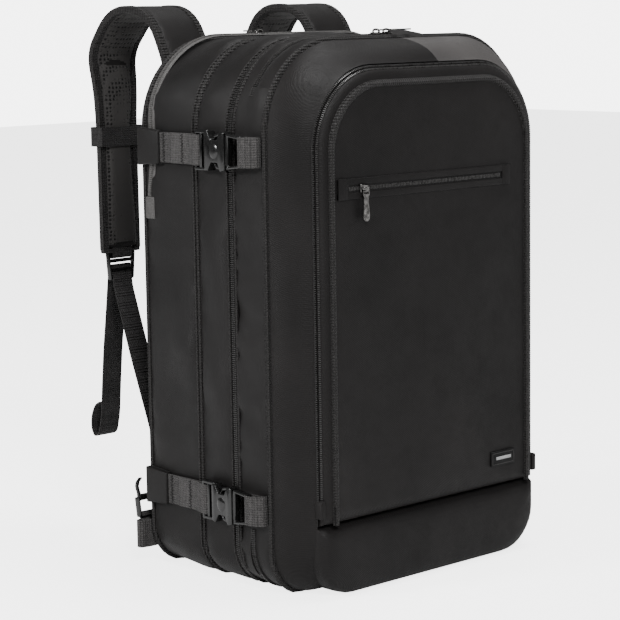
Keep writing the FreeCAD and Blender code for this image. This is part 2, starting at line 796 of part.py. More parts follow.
def sternum_strap():
    """Keepers slide on the straps' straight runs; the buckle joins them in the middle."""
    half_high = size.keeper_height / 2
    low_z, high_z = size.sternum_z - half_high, size.sternum_z + half_high
    gap, wall = size.keeper_gap, size.keeper_wall
    half_strap = size.strap_width / 2 + gap
    y0, y1 = size.strap_back_y - size.strap_thick / 2 - gap, size.strap_back_y + size.strap_thick / 2 + gap
    pieces = []
    for side in (-1, 1):
        centre = size.strap_spacing / 2 * side
        pieces.append(blocks(f"keeper_{side + 2}",
                             [(centre - half_strap - wall, centre + half_strap + wall, y0 - wall, y1 + wall,
                               low_z, high_z)],
                             [(centre - half_strap, centre + half_strap, y0, y1, low_z - 1, high_z + 1)]))
    half_web = size.sternum_web_width / 2
    reach = size.strap_spacing / 2 - half_strap - wall
    web_y = size.strap_back_y
    web_z0, web_z1 = size.sternum_z - half_web, size.sternum_z + half_web
    pieces.append(box("sternum_web_long", -reach, 0, web_y, web_y + size.webbing_thick, web_z0, web_z1))
    # x outward -> +Y, y along the webbing -> -X
    turn = FreeCAD.Rotation(Vector(0, 0, 1), 90)
    place = {"at": (0, web_y + size.webbing_thick + size.seat_gap, size.sternum_z), "turn": turn}
    loop = webbing_loop("sternum_loop", size.sternum_web_width - 6, reach)
    put(loop, *place["at"], turn=turn)
    pieces.append(loop)
    named(group_of("sternum_strap", pieces), "sternum_strap")
    buckle_male("sternum_male", size.sternum_buckle_height, place)
    buckle_female("sternum_female", size.sternum_buckle_height, place)


def back_fittings():
    y0, y1 = size.back_y, size.back_y + size.pad_thick
    pads = [
        (-size.pad_outer_x, -size.pad_inner_x, y0, y1, size.pad_low_z, size.pad_high_z),
        (size.pad_inner_x, size.pad_outer_x, y0, y1, size.pad_low_z, size.pad_high_z),
        (-size.lumbar_half, size.lumbar_half, y0, y1, size.lumbar_low_z, size.lumbar_high_z),
    ]
    named(joined("back_pads", pads, "Part::Compound"), "back_pads")
    out = size.back_y + size.handle_reach
    half, foot = size.handle_half, size.handle_thick
    low_z, high_z = size.handle_z - size.handle_height / 2, size.handle_z + size.handle_height / 2
    handle = blocks("top_handle",
                    [(-half, half, size.back_y, out, low_z, high_z)],
                    [(-half + foot, half - foot, size.back_y - 1, out - foot, low_z - 1, high_z + 1)])
    named(handle, "top_handle")


def hip_belt():
    """Belt ends folded flat against the lower back, with the buckle halves standing beside them."""
    web = size.webbing_thick
    bands = []
    for side in (-1, 1):
        far, near = size.belt_reach * side, size.belt_near * side
        low_x, high_x = (near, far) if side > 0 else (far, near)
        inner_y = size.back_y + size.belt_gap
        outer_y = inner_y + size.belt_fold
        bands.append(blocks(f"belt_band_{side + 2}",
                            [(low_x, high_x, inner_y, outer_y, size.belt_low_z, size.belt_high_z)],
                            [(low_x + (web * 2 if side < 0 else -5), high_x - (web * 2 if side > 0 else -5),
                              inner_y + web, outer_y - web, size.belt_low_z - 1, size.belt_high_z + 1)]))
    named(group_of("hip_belt", bands), "hip_belt")
    # both halves stand on the fold of their band: y of the buckle runs along +-Z
    middle_x = size.belt_reach - size.hip_buckle_inset
    seat_y = size.back_y + size.hip_buckle_seat
    stand = FreeCAD.Rotation(Vector(0, 1, 0), Vector(0, 0, 1), Vector(1, 0, 0), "XYZ")
    male_z = size.belt_high_z + size.loop_length + size.hip_buckle_gap
    buckle_male("hip_buckle_male", size.buckle_height, {"at": (-middle_x, seat_y, male_z), "turn": stand})
    hang = FreeCAD.Rotation(Vector(0, 1, 0), Vector(0, 0, -1), Vector(-1, 0, 0), "XYZ")
    female_z = size.belt_high_z + size.hip_buckle_gap + size.housing_length + size.ladder_length
    buckle_female("hip_buckle_female", size.buckle_height,
                  {"at": (middle_x, seat_y, female_z), "turn": hang})


# ---- zip sliders: x along the bridge pin, y away from the pull, z off the zip ----
def slider(name, place):
    half_l, half_w = size.slider_length / 2, size.slider_width / 2
    lift, thick = size.slider_lift, size.slider_thick
    post = size.knuckle_width / 2 + size.post_gap
    top = lift + size.bridge_height + size.bridge_pin_radius + size.bridge_cap
    bodywork = joined(f"{name}_body", [
        (-half_l, half_l, -half_w, half_w, lift, lift + thick),
        (-half_l, -post, -size.post_half, size.post_half, lift, top),
        (post, half_l, -size.post_half, size.post_half, lift, top),
    ])
    pin = doc.addObject("Part::Cylinder", f"{name}_pin")
    bind(pin, "Radius", size.bridge_pin_radius)
    bind(pin, "Height", size.slider_length)
    put(pin, -half_l, 0, lift + size.bridge_height, FreeCAD.Rotation(Vector(0, 1, 0), 90))
    whole = doc.addObject("Part::MultiFuse", name)
    whole.Shapes = [bodywork, pin]
    put(whole, *place["at"], turn=place["turn"])
    return named(whole, name)


def pull(name, length, place):
    """Flat pull with a knuckle round the bridge pin, leaning so that its tip nears the cloth."""
    half_k, half_w = size.knuckle_width / 2, size.pull_width / 2
    plate = joined(f"{name}_plate", [
        (-half_k, half_k, -size.knuckle_radius * 2, 0, -size.pull_thick / 2, size.pull_thick / 2),
        (-half_w, half_w, -length, -size.knuckle_radius * 2, -size.pull_thick / 2, size.pull_thick / 2),
    ])
    barrel = doc.addObject("Part::Cylinder", f"{name}_barrel")
    hole = doc.addObject("Part::Cylinder", f"{name}_hole")
    for item, radius in ((barrel, size.knuckle_radius), (hole, size.knuckle_hole_radius)):
        bind(item, "Radius", radius)
        bind(item, "Height", size.knuckle_width)
        put(item, -half_k, 0, 0, FreeCAD.Rotation(Vector(0, 1, 0), 90))
    solid = doc.addObject("Part::MultiFuse", f"{name}_solid")
    solid.Shapes = [plate, barrel]
    whole = cut(name, solid, hole)
    rise = size.slider_lift.value + size.bridge_height.value
    lean = math.degrees(math.asin((rise - place["rest"]) / length.value))
    turn = place["turn"].multiply(FreeCAD.Rotation(Vector(1, 0, 0), lean))
    up = place["turn"].multVec(Vector(0, 0, 1))
    spots = [as_size(value) + as_size(amount) * (size.slider_lift + size.bridge_height)
             for value, amount in zip(place["at"], (round(up.x, 6), round(up.y, 6), round(up.z, 6)))]
    put(whole, *spots, turn=turn)
    return named(whole, name)


def zip_hardware():
    flat = FreeCAD.Rotation()
    side_turn = FreeCAD.Rotation(Vector(0, 0, 1), 90)
    front_turn = FreeCAD.Rotation(Vector(1, 0, 0), 90)
    right_turn = FreeCAD.Rotation(Vector(0, 0, 1), Vector(0, 1, 0), Vector(1, 0, 0), "XZY")
    back_turn = FreeCAD.Rotation(Vector(0, 0, 1), 180)
    top = size.bag_height + size.zip_proud
    main_y = main_part_y - size.part_gap / 2
    rim_line = front_y - size.slider_length / 2 - size.part_gap
    spots = {
        "main_{}_a": ((size.main_slider_a_x, main_y, top), flat, size.long_pull, size.high_rest),
        "main_{}_b": ((size.main_slider_b_x, main_y, top), flat, size.long_pull, size.high_rest),
        "pocket_{}_a": ((size.pocket_slider_a_x, rim_line, size.pocket_top), side_turn, size.short_pull,
                        size.low_rest),
        "pocket_{}_b": ((size.pocket_slider_b_x, rim_line, size.pocket_top), side_turn, size.short_pull,
                        size.low_rest),
        "slit_{}": ((size.slit_slider_x, pocket_y - size.slit_proud, size.slit_middle), front_turn,
                    size.slit_pull, size.low_rest),
        "laptop_{}": ((size.laptop_slider_x, size.rear_zip_y - size.rear_zip_width / 2, top), back_turn,
                      size.short_pull, size.low_rest),
        "expansion_{}": ((half_width + size.zip_proud, expansion_part_y - size.part_gap / 2,
                          size.expansion_slider_z), right_turn, size.short_pull, size.low_rest),
    }
    for pattern, (at, turn, length, rest) in spots.items():
        place = {"at": at, "turn": turn, "rest": rest.value}
        slider(pattern.format("slider"), place)
        pull(pattern.format("pull"), length, place)


rear_shell()
expanding_frame()
lid()
front_pocket()
compression_straps()
shoulder_straps()
sternum_strap()
back_fittings()
hip_belt()
zip_hardware()
doc.recompute()

# ---- checks, then one file per sub-part ----
faults = [item.Name for item in doc.Objects if "Invalid" in item.State or "Error" in item.State]
faults += [item.Label for item in nodes if item.Shape.isNull() or not item.Shape.isValid()]
if faults:
    raise RuntimeError("failed objects: " + ", ".join(faults))
os.makedirs("parts", exist_ok=True)
for item in nodes:
    assert re.fullmatch(r"[a-z0-9_]{1,59}", item.Label), item.Label
    item.Shape.exportStep(f"parts/{item.Label}.step")
    bounds = item.Shape.BoundBox
    print(f"{item.Label}: {len(item.Shape.Solids)} solid(s), {item.Shape.Volume / 1000:.1f} cm3, "
          f"x {bounds.XMin:.1f}..{bounds.XMax:.1f} y {bounds.YMin:.1f}..{bounds.YMax:.1f} "
          f"z {bounds.ZMin:.1f}..{bounds.ZMax:.1f}")
print(len(nodes), "sub-parts")
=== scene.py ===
import math

import bmesh
import bpy
from mathutils import Matrix, Vector, noise


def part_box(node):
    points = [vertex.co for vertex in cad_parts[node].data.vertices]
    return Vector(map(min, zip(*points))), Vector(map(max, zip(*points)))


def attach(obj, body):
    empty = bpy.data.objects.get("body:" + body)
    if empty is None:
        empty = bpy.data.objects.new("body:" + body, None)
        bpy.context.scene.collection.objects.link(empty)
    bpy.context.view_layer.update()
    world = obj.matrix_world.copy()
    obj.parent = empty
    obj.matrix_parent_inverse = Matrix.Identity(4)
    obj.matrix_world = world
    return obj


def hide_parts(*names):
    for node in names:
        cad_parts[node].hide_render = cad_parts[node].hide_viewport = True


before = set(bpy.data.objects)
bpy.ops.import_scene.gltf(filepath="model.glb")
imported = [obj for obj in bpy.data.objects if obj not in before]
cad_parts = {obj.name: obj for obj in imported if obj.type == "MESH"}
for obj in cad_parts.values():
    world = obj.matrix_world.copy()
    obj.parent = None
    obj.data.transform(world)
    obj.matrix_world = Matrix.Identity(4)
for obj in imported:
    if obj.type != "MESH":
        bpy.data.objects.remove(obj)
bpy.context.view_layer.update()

mm = 0.001

# the bag's outline seen from the front, and what its fabric shells share
bag = {
    "half": 172.5 * mm, "low": 0.0, "high": 525 * mm, "lowRound": 45 * mm, "highRound": 88 * mm,
    "strapLevels": (84 * mm, 423 * mm), "wall": 2.2 * mm, "step": 8 * mm,
}
pocket = {
    "half": 149 * mm, "low": 72 * mm, "high": 499 * mm, "lowRound": 0, "highRound": 76 * mm,
    "wall": 2 * mm, "step": 8 * mm,
}
sideShare = 0.9  # past this share of its half width, a point is on the bag's side
coilPitch = 2.0 * mm
operatorTurn = -1  # without a window the rotate tool turns the other way


def clearSelection():
    if bpy.context.mode != "OBJECT":
        bpy.ops.object.mode_set(mode="OBJECT")
    bpy.ops.object.select_all(action="DESELECT")


def focusOn(piece):
    clearSelection()
    piece.select_set(True)
    bpy.context.view_layer.objects.active = piece


def openPiece(piece, everything=False):
    focusOn(piece)
    bpy.ops.object.mode_set(mode="EDIT")
    bpy.ops.mesh.select_mode(type="VERT")
    bpy.ops.mesh.select_all(action="SELECT" if everything else "DESELECT")


def closePiece():
    bpy.ops.object.mode_set(mode="OBJECT")


# picks vertices of the piece being edited, with the edges and faces between them
def pickVerts(test):
    shape = bmesh.from_edit_mesh(bpy.context.edit_object.data)
    bpy.ops.mesh.select_all(action="DESELECT")
    for vert in shape.verts:
        vert.select = bool(test(vert.co))
    shape.select_flush_mode()
    bmesh.update_edit_mesh(bpy.context.edit_object.data)


def pickEdges(test):
    bpy.ops.mesh.select_mode(type="EDGE")
    bpy.ops.mesh.select_all(action="DESELECT")
    shape = bmesh.from_edit_mesh(bpy.context.edit_object.data)
    for edge in shape.edges:
        edge.select_set(bool(test(edge.verts[0].co, edge.verts[1].co)))
    bmesh.update_edit_mesh(bpy.context.edit_object.data)


def pickFaces(test):
    bpy.ops.mesh.select_mode(type="FACE")
    bpy.ops.mesh.select_all(action="DESELECT")
    shape = bmesh.from_edit_mesh(bpy.context.edit_object.data)
    shape.normal_update()
    for face in shape.faces:
        face.select_set(bool(test(face.calc_center_median(), face.normal)))
    bmesh.update_edit_mesh(bpy.context.edit_object.data)


def allOut():
    bpy.ops.mesh.select_all(action="SELECT")
    bpy.ops.mesh.normals_make_consistent(inside=False)


# a cut right across the piece being edited
def slicePiece(spot, across):
    bpy.ops.mesh.select_all(action="SELECT")
    bpy.ops.mesh.bisect(plane_co=spot, plane_no=across)


def extrudeBy(step):
    bpy.ops.mesh.extrude_region_move(TRANSFORM_OT_translate={"value": step})


# rounds the edges that are sharper than the angle, in mm
def softenEdges(piece, width, segments, angle=0.5):
    useModifier(piece, "BEVEL", width=width * mm, segments=segments, limit_method="ANGLE",
                angle_limit=angle)


def faceOut(piece):
    openPiece(piece, everything=True)
    bpy.ops.mesh.normals_make_consistent(inside=False)
    closePiece()
    mesh = piece.data
    middle = sum((v.co for v in mesh.vertices), Vector()) / len(mesh.vertices)
    lean = sum((f.center - middle).dot(f.normal) * f.area for f in mesh.polygons)
    if lean < 0:
        openPiece(piece, everything=True)
        bpy.ops.mesh.flip_normals()
        closePiece()


def useModifier(piece, kind, **settings):
    focusOn(piece)
    modifier = piece.modifiers.new("step", kind)
    for key, value in settings.items():
        setattr(modifier, key, value)
    bpy.ops.object.modifier_apply(modifier="step")


def thickenIn(piece, wall):
    useModifier(piece, "SOLIDIFY", thickness=wall, offset=-1)


def moveVerts(piece, shift):
    for vert, new in [(v, v.co + shift(v.co.copy(), v.normal.copy())) for v in piece.data.vertices]:
        vert.co = new
    piece.data.update()


def finishPiece(piece, finish, body, nodes=(), angle=40):
    focusOn(piece)
    bpy.ops.object.transform_apply(location=True, rotation=True, scale=True)
    for vert in piece.data.vertices:  # cloth and cord flatten where the bag stands on them
        if vert.co.z < 0:
            vert.co.z *= 0.05
    bpy.ops.object.shade_smooth_by_angle(angle=math.radians(angle))
    if finish:
        piece.data.materials.clear()
        piece.data.materials.append(finishes[finish])
    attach(piece, body)
    if nodes:
        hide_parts(*nodes)
    return piece


def joinPieces(name, parts):
    focusOn(parts[0])
    for part in parts[1:]:
        part.select_set(True)
    if len(parts) > 1:
        bpy.ops.object.join()
    parts[0].name = parts[0].data.name = name
    return parts[0]


def copyPiece(piece, name, place):
    twin = piece.copy()
    twin.data = piece.data.copy()
    bpy.context.scene.collection.objects.link(twin)
    twin.name = twin.data.name = name
    twin.data.transform(place)
    if place.determinant() < 0:
        openPiece(twin, everything=True)
        bpy.ops.mesh.flip_normals()
        closePiece()
    return twin


def smoothStep(low, high, value):
    share = min(1.0, max(0.0, (value - low) / (high - low)))
    return share * share * (3 - 2 * share)


def addBlock(name, low, high, soften=0.0, rounds=2):
    clearSelection()
    low, high = Vector(low), Vector(high)
    bpy.ops.mesh.primitive_cube_add(size=1, location=(low + high) / 2)
    block = bpy.context.object
    block.name = block.data.name = name
    block.scale = high - low
    bpy.ops.object.transform_apply(location=True, rotation=True, scale=True)
    if soften:
        openPiece(block, everything=True)
        bpy.ops.mesh.bevel(offset=soften, segments=rounds, affect="EDGES")
        closePiece()
    return block


# the same, with every measure in millimetres
def mmBlock(name, low, high, soften=0.0, rounds=2):
    return addBlock(name, [v * mm for v in low], [v * mm for v in high], soften * mm, rounds)


# a node group with named sockets, and the ways in and out of it
def startGroup(name, inputs, outputs):
    group = bpy.data.node_groups.new(name, "ShaderNodeTree")
    for label, kind, value in inputs:
        socket = group.interface.new_socket(name=label, in_out="INPUT", socket_type=kind)
        if value is not None:
            socket.default_value = value
    for label, kind in outputs:
        group.interface.new_socket(name=label, in_out="OUTPUT", socket_type=kind)
    return group, group.nodes.new("NodeGroupInput"), group.nodes.new("NodeGroupOutput")


def putNode(tree, kind, wires=(), **settings):
    node = tree.nodes.new(kind)
    for key, value in settings.items():
        if key in node.inputs and not hasattr(node, key):
            node.inputs[key].default_value = value
        else:
            setattr(node, key, value)
    for key, source in dict(wires).items():
        if isinstance(source, (int, float, tuple)):
            node.inputs[key].default_value = source
        else:
            tree.links.new(source, node.inputs[key])
    return node


def mathNode(tree, operation, *values):
    return putNode(tree, "ShaderNodeMath", dict(enumerate(values)), operation=operation).outputs[0]


def vectorNode(tree, operation, first, second):
    node = putNode(tree, "ShaderNodeVectorMath", {0: first, 1: second}, operation=operation)
    return node.outputs["Value" if operation == "DOT_PRODUCT" else "Vector"]


# diagonal cloth: ridges running one way, finer threads crossing them
def makeTwillWeave():
    group, way, out = startGroup(
        "twillWeave",
        [("Place", "NodeSocketVector", None), ("Ridges", "NodeSocketFloat", 3400.0),
         ("Threads", "NodeSocketFloat", 5200.0)],
        [("Height", "NodeSocketFloat"), ("Tone", "NodeSocketFloat")])
    place = way.outputs["Place"]
    ridge = vectorNode(group, "DOT_PRODUCT", place, (1.0, 1.0, 1.0))
    cross = vectorNode(group, "DOT_PRODUCT", place, (1.0, 1.4, -1.0))
    ridge = mathNode(group, "SINE", mathNode(group, "MULTIPLY", ridge, way.outputs["Ridges"]))
    cross = mathNode(group, "SINE", mathNode(group, "MULTIPLY", cross, way.outputs["Threads"]))
    fuzz = putNode(group, "ShaderNodeTexNoise", {"Vector": place, "Scale": 900.0, "Detail": 2.0})
    mixed = mathNode(group, "MULTIPLY_ADD", cross, 0.35, mathNode(group, "MULTIPLY", ridge, 0.65))
    height = mathNode(group, "MULTIPLY_ADD", fuzz.outputs[0], 0.9, mixed)
    # broad soft patches lighten and darken the colour: painted sheen, on top of the weave's own tone
    patch = putNode(group, "ShaderNodeTexNoise", {"Vector": place, "Scale": 11.0, "Detail": 3.0})
    tone = mathNode(group, "MULTIPLY_ADD", mixed, 0.22, patch.outputs[0])
    group.links.new(height, out.inputs["Height"])
    group.links.new(tone, out.inputs["Tone"])
    return group


# square-woven tape and binding: small raised cells whichever way the tape runs
def makeTapeWeave():
    group, way, out = startGroup(
        "tapeWeave",
        [("Place", "NodeSocketVector", None), ("Cells", "NodeSocketFloat", 2500.0)],
        [("Height", "NodeSocketFloat"), ("Tone", "NodeSocketFloat")])
    scaled = putNode(group, "ShaderNodeVectorMath",
                     {0: way.outputs["Place"], "Scale": way.outputs["Cells"]},
                     operation="SCALE").outputs["Vector"]
    parts = putNode(group, "ShaderNodeSeparateXYZ", {0: scaled})
    waves = [mathNode(group, "SINE", parts.outputs[i]) for i in range(3)]
    total = mathNode(group, "ADD", mathNode(group, "ADD", waves[0], waves[1]), waves[2])
    fuzz = putNode(group, "ShaderNodeTexNoise", {"Vector": way.outputs["Place"], "Scale": 300.0})
    group.links.new(total, out.inputs["Height"])
    tone = mathNode(group, "MULTIPLY_ADD", total, 0.12, fuzz.outputs[0])
    group.links.new(tone, out.inputs["Tone"])
    return group


# knitted spacer mesh: rows of small open holes, with painted shade inside each hole
def makeHoleKnit():
    group, way, out = startGroup(
        "holeKnit",
        [("Place", "NodeSocketVector", None), ("Holes", "NodeSocketFloat", 240.0)],
        [("Height", "NodeSocketFloat"), ("HoleShade", "NodeSocketFloat")])
    cells = putNode(group, "ShaderNodeTexVoronoi",
                    {"Vector": way.outputs["Place"], "Scale": way.outputs["Holes"], "Randomness": 0.25})
    hole = putNode(group, "ShaderNodeMapRange", {0: cells.outputs["Distance"], 1: 0.22, 2: 0.42})
    group.links.new(hole.outputs[0], out.inputs["Height"])
    group.links.new(hole.outputs[0], out.inputs["HoleShade"])
    return group


# what handling leaves: lint and rubbed patches, between 0 and 1
def makeWear():
    group, way, out = startGroup(
        "handlingWear",
        [("Place", "NodeSocketVector", None), ("Size", "NodeSocketFloat", 60.0)],
        [("Rub", "NodeSocketFloat")])
    rub = putNode(group, "ShaderNodeTexNoise",
                  {"Vector": way.outputs["Place"], "Scale": way.outputs["Size"], "Detail": 6.0,
                   "Roughness": 0.65})
    spread = putNode(group, "ShaderNodeMapRange", {0: rub.outputs[0], 1: 0.35, 2: 0.75})
    group.links.new(spread.outputs[0], out.inputs["Rub"])
    return group


groups = {
    "twill": makeTwillWeave(), "tape": makeTapeWeave(), "knit": makeHoleKnit(), "wear": makeWear(),
}


# one finish: two colours mixed by a pattern, roughness from wear, relief from the pattern
def makeFinish(name, pattern, dark, light, rough, relief, socket="Tone", values=None, wearSize=60.0,
               reliefSize=0.4, **fixed):
    material = bpy.data.materials.new(name)
    material.use_nodes = True
    tree = material.node_tree
    shader = tree.nodes["Principled BSDF"]
    for key, value in fixed.items():
        shader.inputs[key].default_value = value
    place = tree.nodes.new("ShaderNodeTexCoord").outputs["Object"]
    wear = putNode(tree, "ShaderNodeGroup", node_tree=groups["wear"])
    wear.inputs["Size"].default_value = wearSize
    tree.links.new(place, wear.inputs["Place"])
    spread = putNode(tree, "ShaderNodeMapRange",
                     {0: wear.outputs["Rub"], 3: rough[0], 4: rough[1]})
    tree.links.new(spread.outputs[0], shader.inputs["Roughness"])
    source = wear.outputs["Rub"]
    if pattern:
        weave = putNode(tree, "ShaderNodeGroup", node_tree=groups[pattern])
        for key, value in (values or {}).items():
            weave.inputs[key].default_value = value
        tree.links.new(place, weave.inputs["Place"])
        source = weave.outputs[socket]
        height = weave.outputs["Height"]
    else:
        height = wear.outputs["Rub"]
    bump = putNode(tree, "ShaderNodeBump", {"Height": height, "Strength": reliefSize, "Distance": relief})
    tree.links.new(bump.outputs[0], shader.inputs["Normal"])
    blend = putNode(tree, "ShaderNodeMix", {0: source}, data_type="RGBA")
    blend.inputs[6].default_value = (*dark, 1)
    blend.inputs[7].default_value = (*light, 1)
    tree.links.new(blend.outputs[2], shader.inputs["Base Color"])
    return material


finishes = {
    "twill": makeFinish("blackTwill", "twill", (0.0028, 0.0025, 0.0025), (0.0128, 0.0114, 0.0112),
                        (0.46, 0.62), 0.00022, **{"Sheen Weight": 0.035, "Sheen Roughness": 0.4,
                                                  "Specular IOR Level": 0.16}),
    "twillSide": makeFinish("blackTwillSide", "twill", (0.0024, 0.0022, 0.0022), (0.0112, 0.01, 0.0098),
                            (0.4, 0.56), 0.0002, **{"Sheen Weight": 0.03, "Sheen Roughness": 0.4,
                                                    "Specular IOR Level": 0.2}),
    # a lighter grey twill, used only to paint a highlight on the lid's margin
    "twillHighlight": makeFinish("twillPaintedHighlight", "twill", (0.026, 0.0242, 0.0238), (0.078, 0.073, 0.0715),
                            (0.46, 0.62), 0.00022, **{"Sheen Weight": 0.06, "Sheen Roughness": 0.4,
                                                      "Specular IOR Level": 0.2}),
    "lining": makeFinish("greyLining", "twill", (0.045, 0.045, 0.047), (0.085, 0.085, 0.088), (0.45, 0.6),
                         0.0001, values={"Ridges": 6000.0, "Threads": 8000.0}, **{"Sheen Weight": 0.1}),
    "board": makeFinish("foamBoard", None, (0.03, 0.03, 0.03), (0.05, 0.05, 0.05), (0.7, 0.85), 0.0002,
                        wearSize=220.0),
    "binding": makeFinish("ribbedBinding", "tape", (0.0045, 0.0042, 0.0042), (0.026, 0.024, 0.0235),
                          (0.5, 0.7), 0.0006, values={"Cells": 2300.0}, reliefSize=0.9,
                          **{"Sheen Weight": 0.03, "Specular IOR Level": 0.2}),
    "webbing": makeFinish("greyWebbing", "tape", (0.018, 0.0172, 0.017), (0.075, 0.071, 0.07),
                          (0.55, 0.72), 0.0005, values={"Cells": 2700.0}, reliefSize=0.8,
                          **{"Sheen Weight": 0.05, "Sheen Roughness": 0.5, "Specular IOR Level": 0.2}),
    "webbingBlack": makeFinish("blackWebbing", "tape", (0.005, 0.0047, 0.0047), (0.026, 0.024, 0.024),
                               (0.5, 0.7), 0.0005, values={"Cells": 2700.0}, reliefSize=0.8,
                               **{"Sheen Weight": 0.04, "Sheen Roughness": 0.5,
                                  "Specular IOR Level": 0.2}),
    "tapeBlack": makeFinish("blackZipTape", "tape", (0.0035, 0.0034, 0.0034), (0.014, 0.013, 0.013),
                            (0.5, 0.66), 0.0002, values={"Cells": 5200.0}, **{"Specular IOR Level": 0.2}),
    "tapeGrey": makeFinish("greyZipTape", "tape", (0.045, 0.043, 0.042), (0.1, 0.097, 0.095),
                           (0.5, 0.66), 0.0003, values={"Cells": 4200.0}, **{"Specular IOR Level": 0.25}),
    "coil": makeFinish("nylonCoil", None, (0.018, 0.0172, 0.017), (0.05, 0.048, 0.047), (0.24, 0.38),
                       0.0001, wearSize=400.0, **{"Coat Weight": 0.25, "Coat Roughness": 0.3,
                                                  "Specular IOR Level": 0.4}),
    "coilGrey": makeFinish("greyNylonCoil", None, (0.07, 0.068, 0.066), (0.13, 0.126, 0.123),
                           (0.28, 0.42), 0.0001, wearSize=400.0),
    # the near-black colour is painted shade inside the knit's holes
    "mesh": makeFinish("spacerMesh", "knit", (0.0015, 0.0015, 0.0015), (0.036, 0.034, 0.033), (0.6, 0.8),
                       0.0011, socket="HoleShade", reliefSize=0.9, **{"Sheen Weight": 0.05,
                                                                 "Specular IOR Level": 0.2}),
    "plastic": makeFinish("mouldedBlack", None, (0.003, 0.003, 0.003), (0.007, 0.007, 0.007),
                          (0.16, 0.32), 0.00008, wearSize=180.0,
                          **{"Coat Weight": 0.25, "Coat Roughness": 0.1, "Specular IOR Level": 0.42}),
    "metal": makeFinish("darkNickel", None, (0.09, 0.088, 0.086), (0.34, 0.33, 0.32), (0.2, 0.4),
                        0.00006, wearSize=260.0, Metallic=1.0),
    "patch": makeFinish("wovenPatch", "tape", (0.002, 0.002, 0.002), (0.006, 0.006, 0.006), (0.5, 0.6),
                        0.0002, values={"Cells": 5200.0}, **{"Specular IOR Level": 0.2}),
    "patchEdge": makeFinish("patchThread", "tape", (0.20, 0.20, 0.20), (0.42, 0.42, 0.42), (0.55, 0.7),
                            0.0002, values={"Cells": 6000.0}),
}
print("finishes ready:", len(finishes))


# a closed wire in the outline's shape, standing at y and left open for editing with all of it picked
def startOutline(name, shape, y, grow=0.0, roundCuts=(12, 8)):
    clearSelection()
    half, low, high = shape["half"] + grow, shape["low"] - grow, shape["high"] + grow
    if not shape["lowRound"]:
        low = shape["low"]
    bpy.ops.mesh.primitive_plane_add(size=1, location=(0, y, (low + high) / 2),
                                     rotation=(math.pi / 2, 0, 0))
    piece = bpy.context.object
    piece.name = piece.data.name = name
    piece.scale = (2 * half, high - low, 1)
    bpy.ops.object.transform_apply(location=True, rotation=True, scale=True)
    openPiece(piece)
    for level, radius, cuts in ((high, shape["highRound"] + grow, roundCuts[0]),
                                (low, shape["lowRound"] + grow if shape["lowRound"] else 0, roundCuts[1])):
        if radius:
            pickVerts(lambda co, level=level: abs(co.z - level) < 1e-5)
            bpy.ops.mesh.bevel(offset=radius, segments=cuts, affect="VERTICES")
    bpy.ops.mesh.select_all(action="SELECT")
    bpy.ops.mesh.delete(type="ONLY_FACE")
    bpy.ops.mesh.select_mode(type="EDGE")
    for upright in (True, False):
        spans = []

        def straight(a, b, upright=upright, spans=spans):
            long = (a - b).length > shape["step"] * 2
            fits = long and (abs(a.x - b.x) < 1e-5) == upright
            if fits:
                spans.append((a - b).length)
            return fits

        pickEdges(straight)
        if spans:
            bpy.ops.mesh.subdivide(number_cuts=int(max(spans) / shape["step"]))
    bpy.ops.mesh.select_mode(type="VERT")
    bpy.ops.mesh.select_all(action="SELECT")
    return piece


# carries the picked wire on through a list of (y, grow) stations
def carryOutline(shape, stations):
    middle = (shape["low"] + shape["high"]) / 2
    tall = (shape["high"] - shape["low"]) / 2
    lastY, lastGrow = stations[0]
    for y, grow in stations[1:]:
        extrudeBy((0, y - lastY, 0))
        across = (shape["half"] + grow) / (shape["half"] + lastGrow)
        upward = (tall + grow) / (tall + lastGrow)
        bpy.ops.transform.resize(value=(across, 1, upward), center_override=(0, y, middle))
        lastY, lastGrow = y, grow


def makeRing(name, shape, stations, wall=None, gap=None):
    piece = startOutline(name, shape, stations[0][0], stations[0][1])
    carryOutline(shape, stations)
    if gap:
        pickVerts(lambda co: co.x < -shape["half"] * sideShare and gap[0] < co.z < gap[1])
        bpy.ops.mesh.delete(type="VERT")
    closePiece()
    faceOut(piece)
    if wall:
        thickenIn(piece, wall)
    return piece


def inMetres(line):
    return [(y * mm, grow * mm) for y, grow in line]


def cutBelow(level):
    bpy.ops.mesh.select_all(action="SELECT")
    bpy.ops.mesh.bisect(plane_co=(0, 0, level), plane_no=(0, 0, 1), clear_inner=True, use_fill=False)


# a skin carried along the outline's (y, grow) line in mm; filled at its end, or cut off below a level
def makeSkin(name, shape, line, filled=True, floorCut=None, roundCuts=(12, 8)):
    stations = inMetres(line)
    piece = startOutline(name, shape, *stations[0], roundCuts)
    carryOutline(shape, stations)
    if filled:
        bpy.ops.mesh.edge_face_add()
    if floorCut is not None:
        cutBelow(floorCut)
    closePiece()
    faceOut(piece)
    return piece


# moves a piece made on the right to its side, and turns it the right way out again
def toSide(piece, side):
    piece.data.transform(Matrix.Scale(side, 4, (1, 0, 0)))
    faceOut(piece)


def evenStations(start, end, count, grow=0.0):
    return [(start + (end - start) * i / count, grow) for i in range(count + 1)]


# 0 where a side strap presses on the fabric, 1 away from it
def strapFree(co):
    if abs(co.x) < sideShare * bag["half"]:
        return 1.0
    free = 1.0
    for level in bag["strapLevels"]:
        free *= smoothStep(15 * mm, 46 * mm, abs(co.z - level))
    return free


def wavy(co, scale, seed=0.0):
    return noise.noise(Vector((co.x * scale + seed, co.y * scale - seed, co.z * scale + seed * 0.5)))


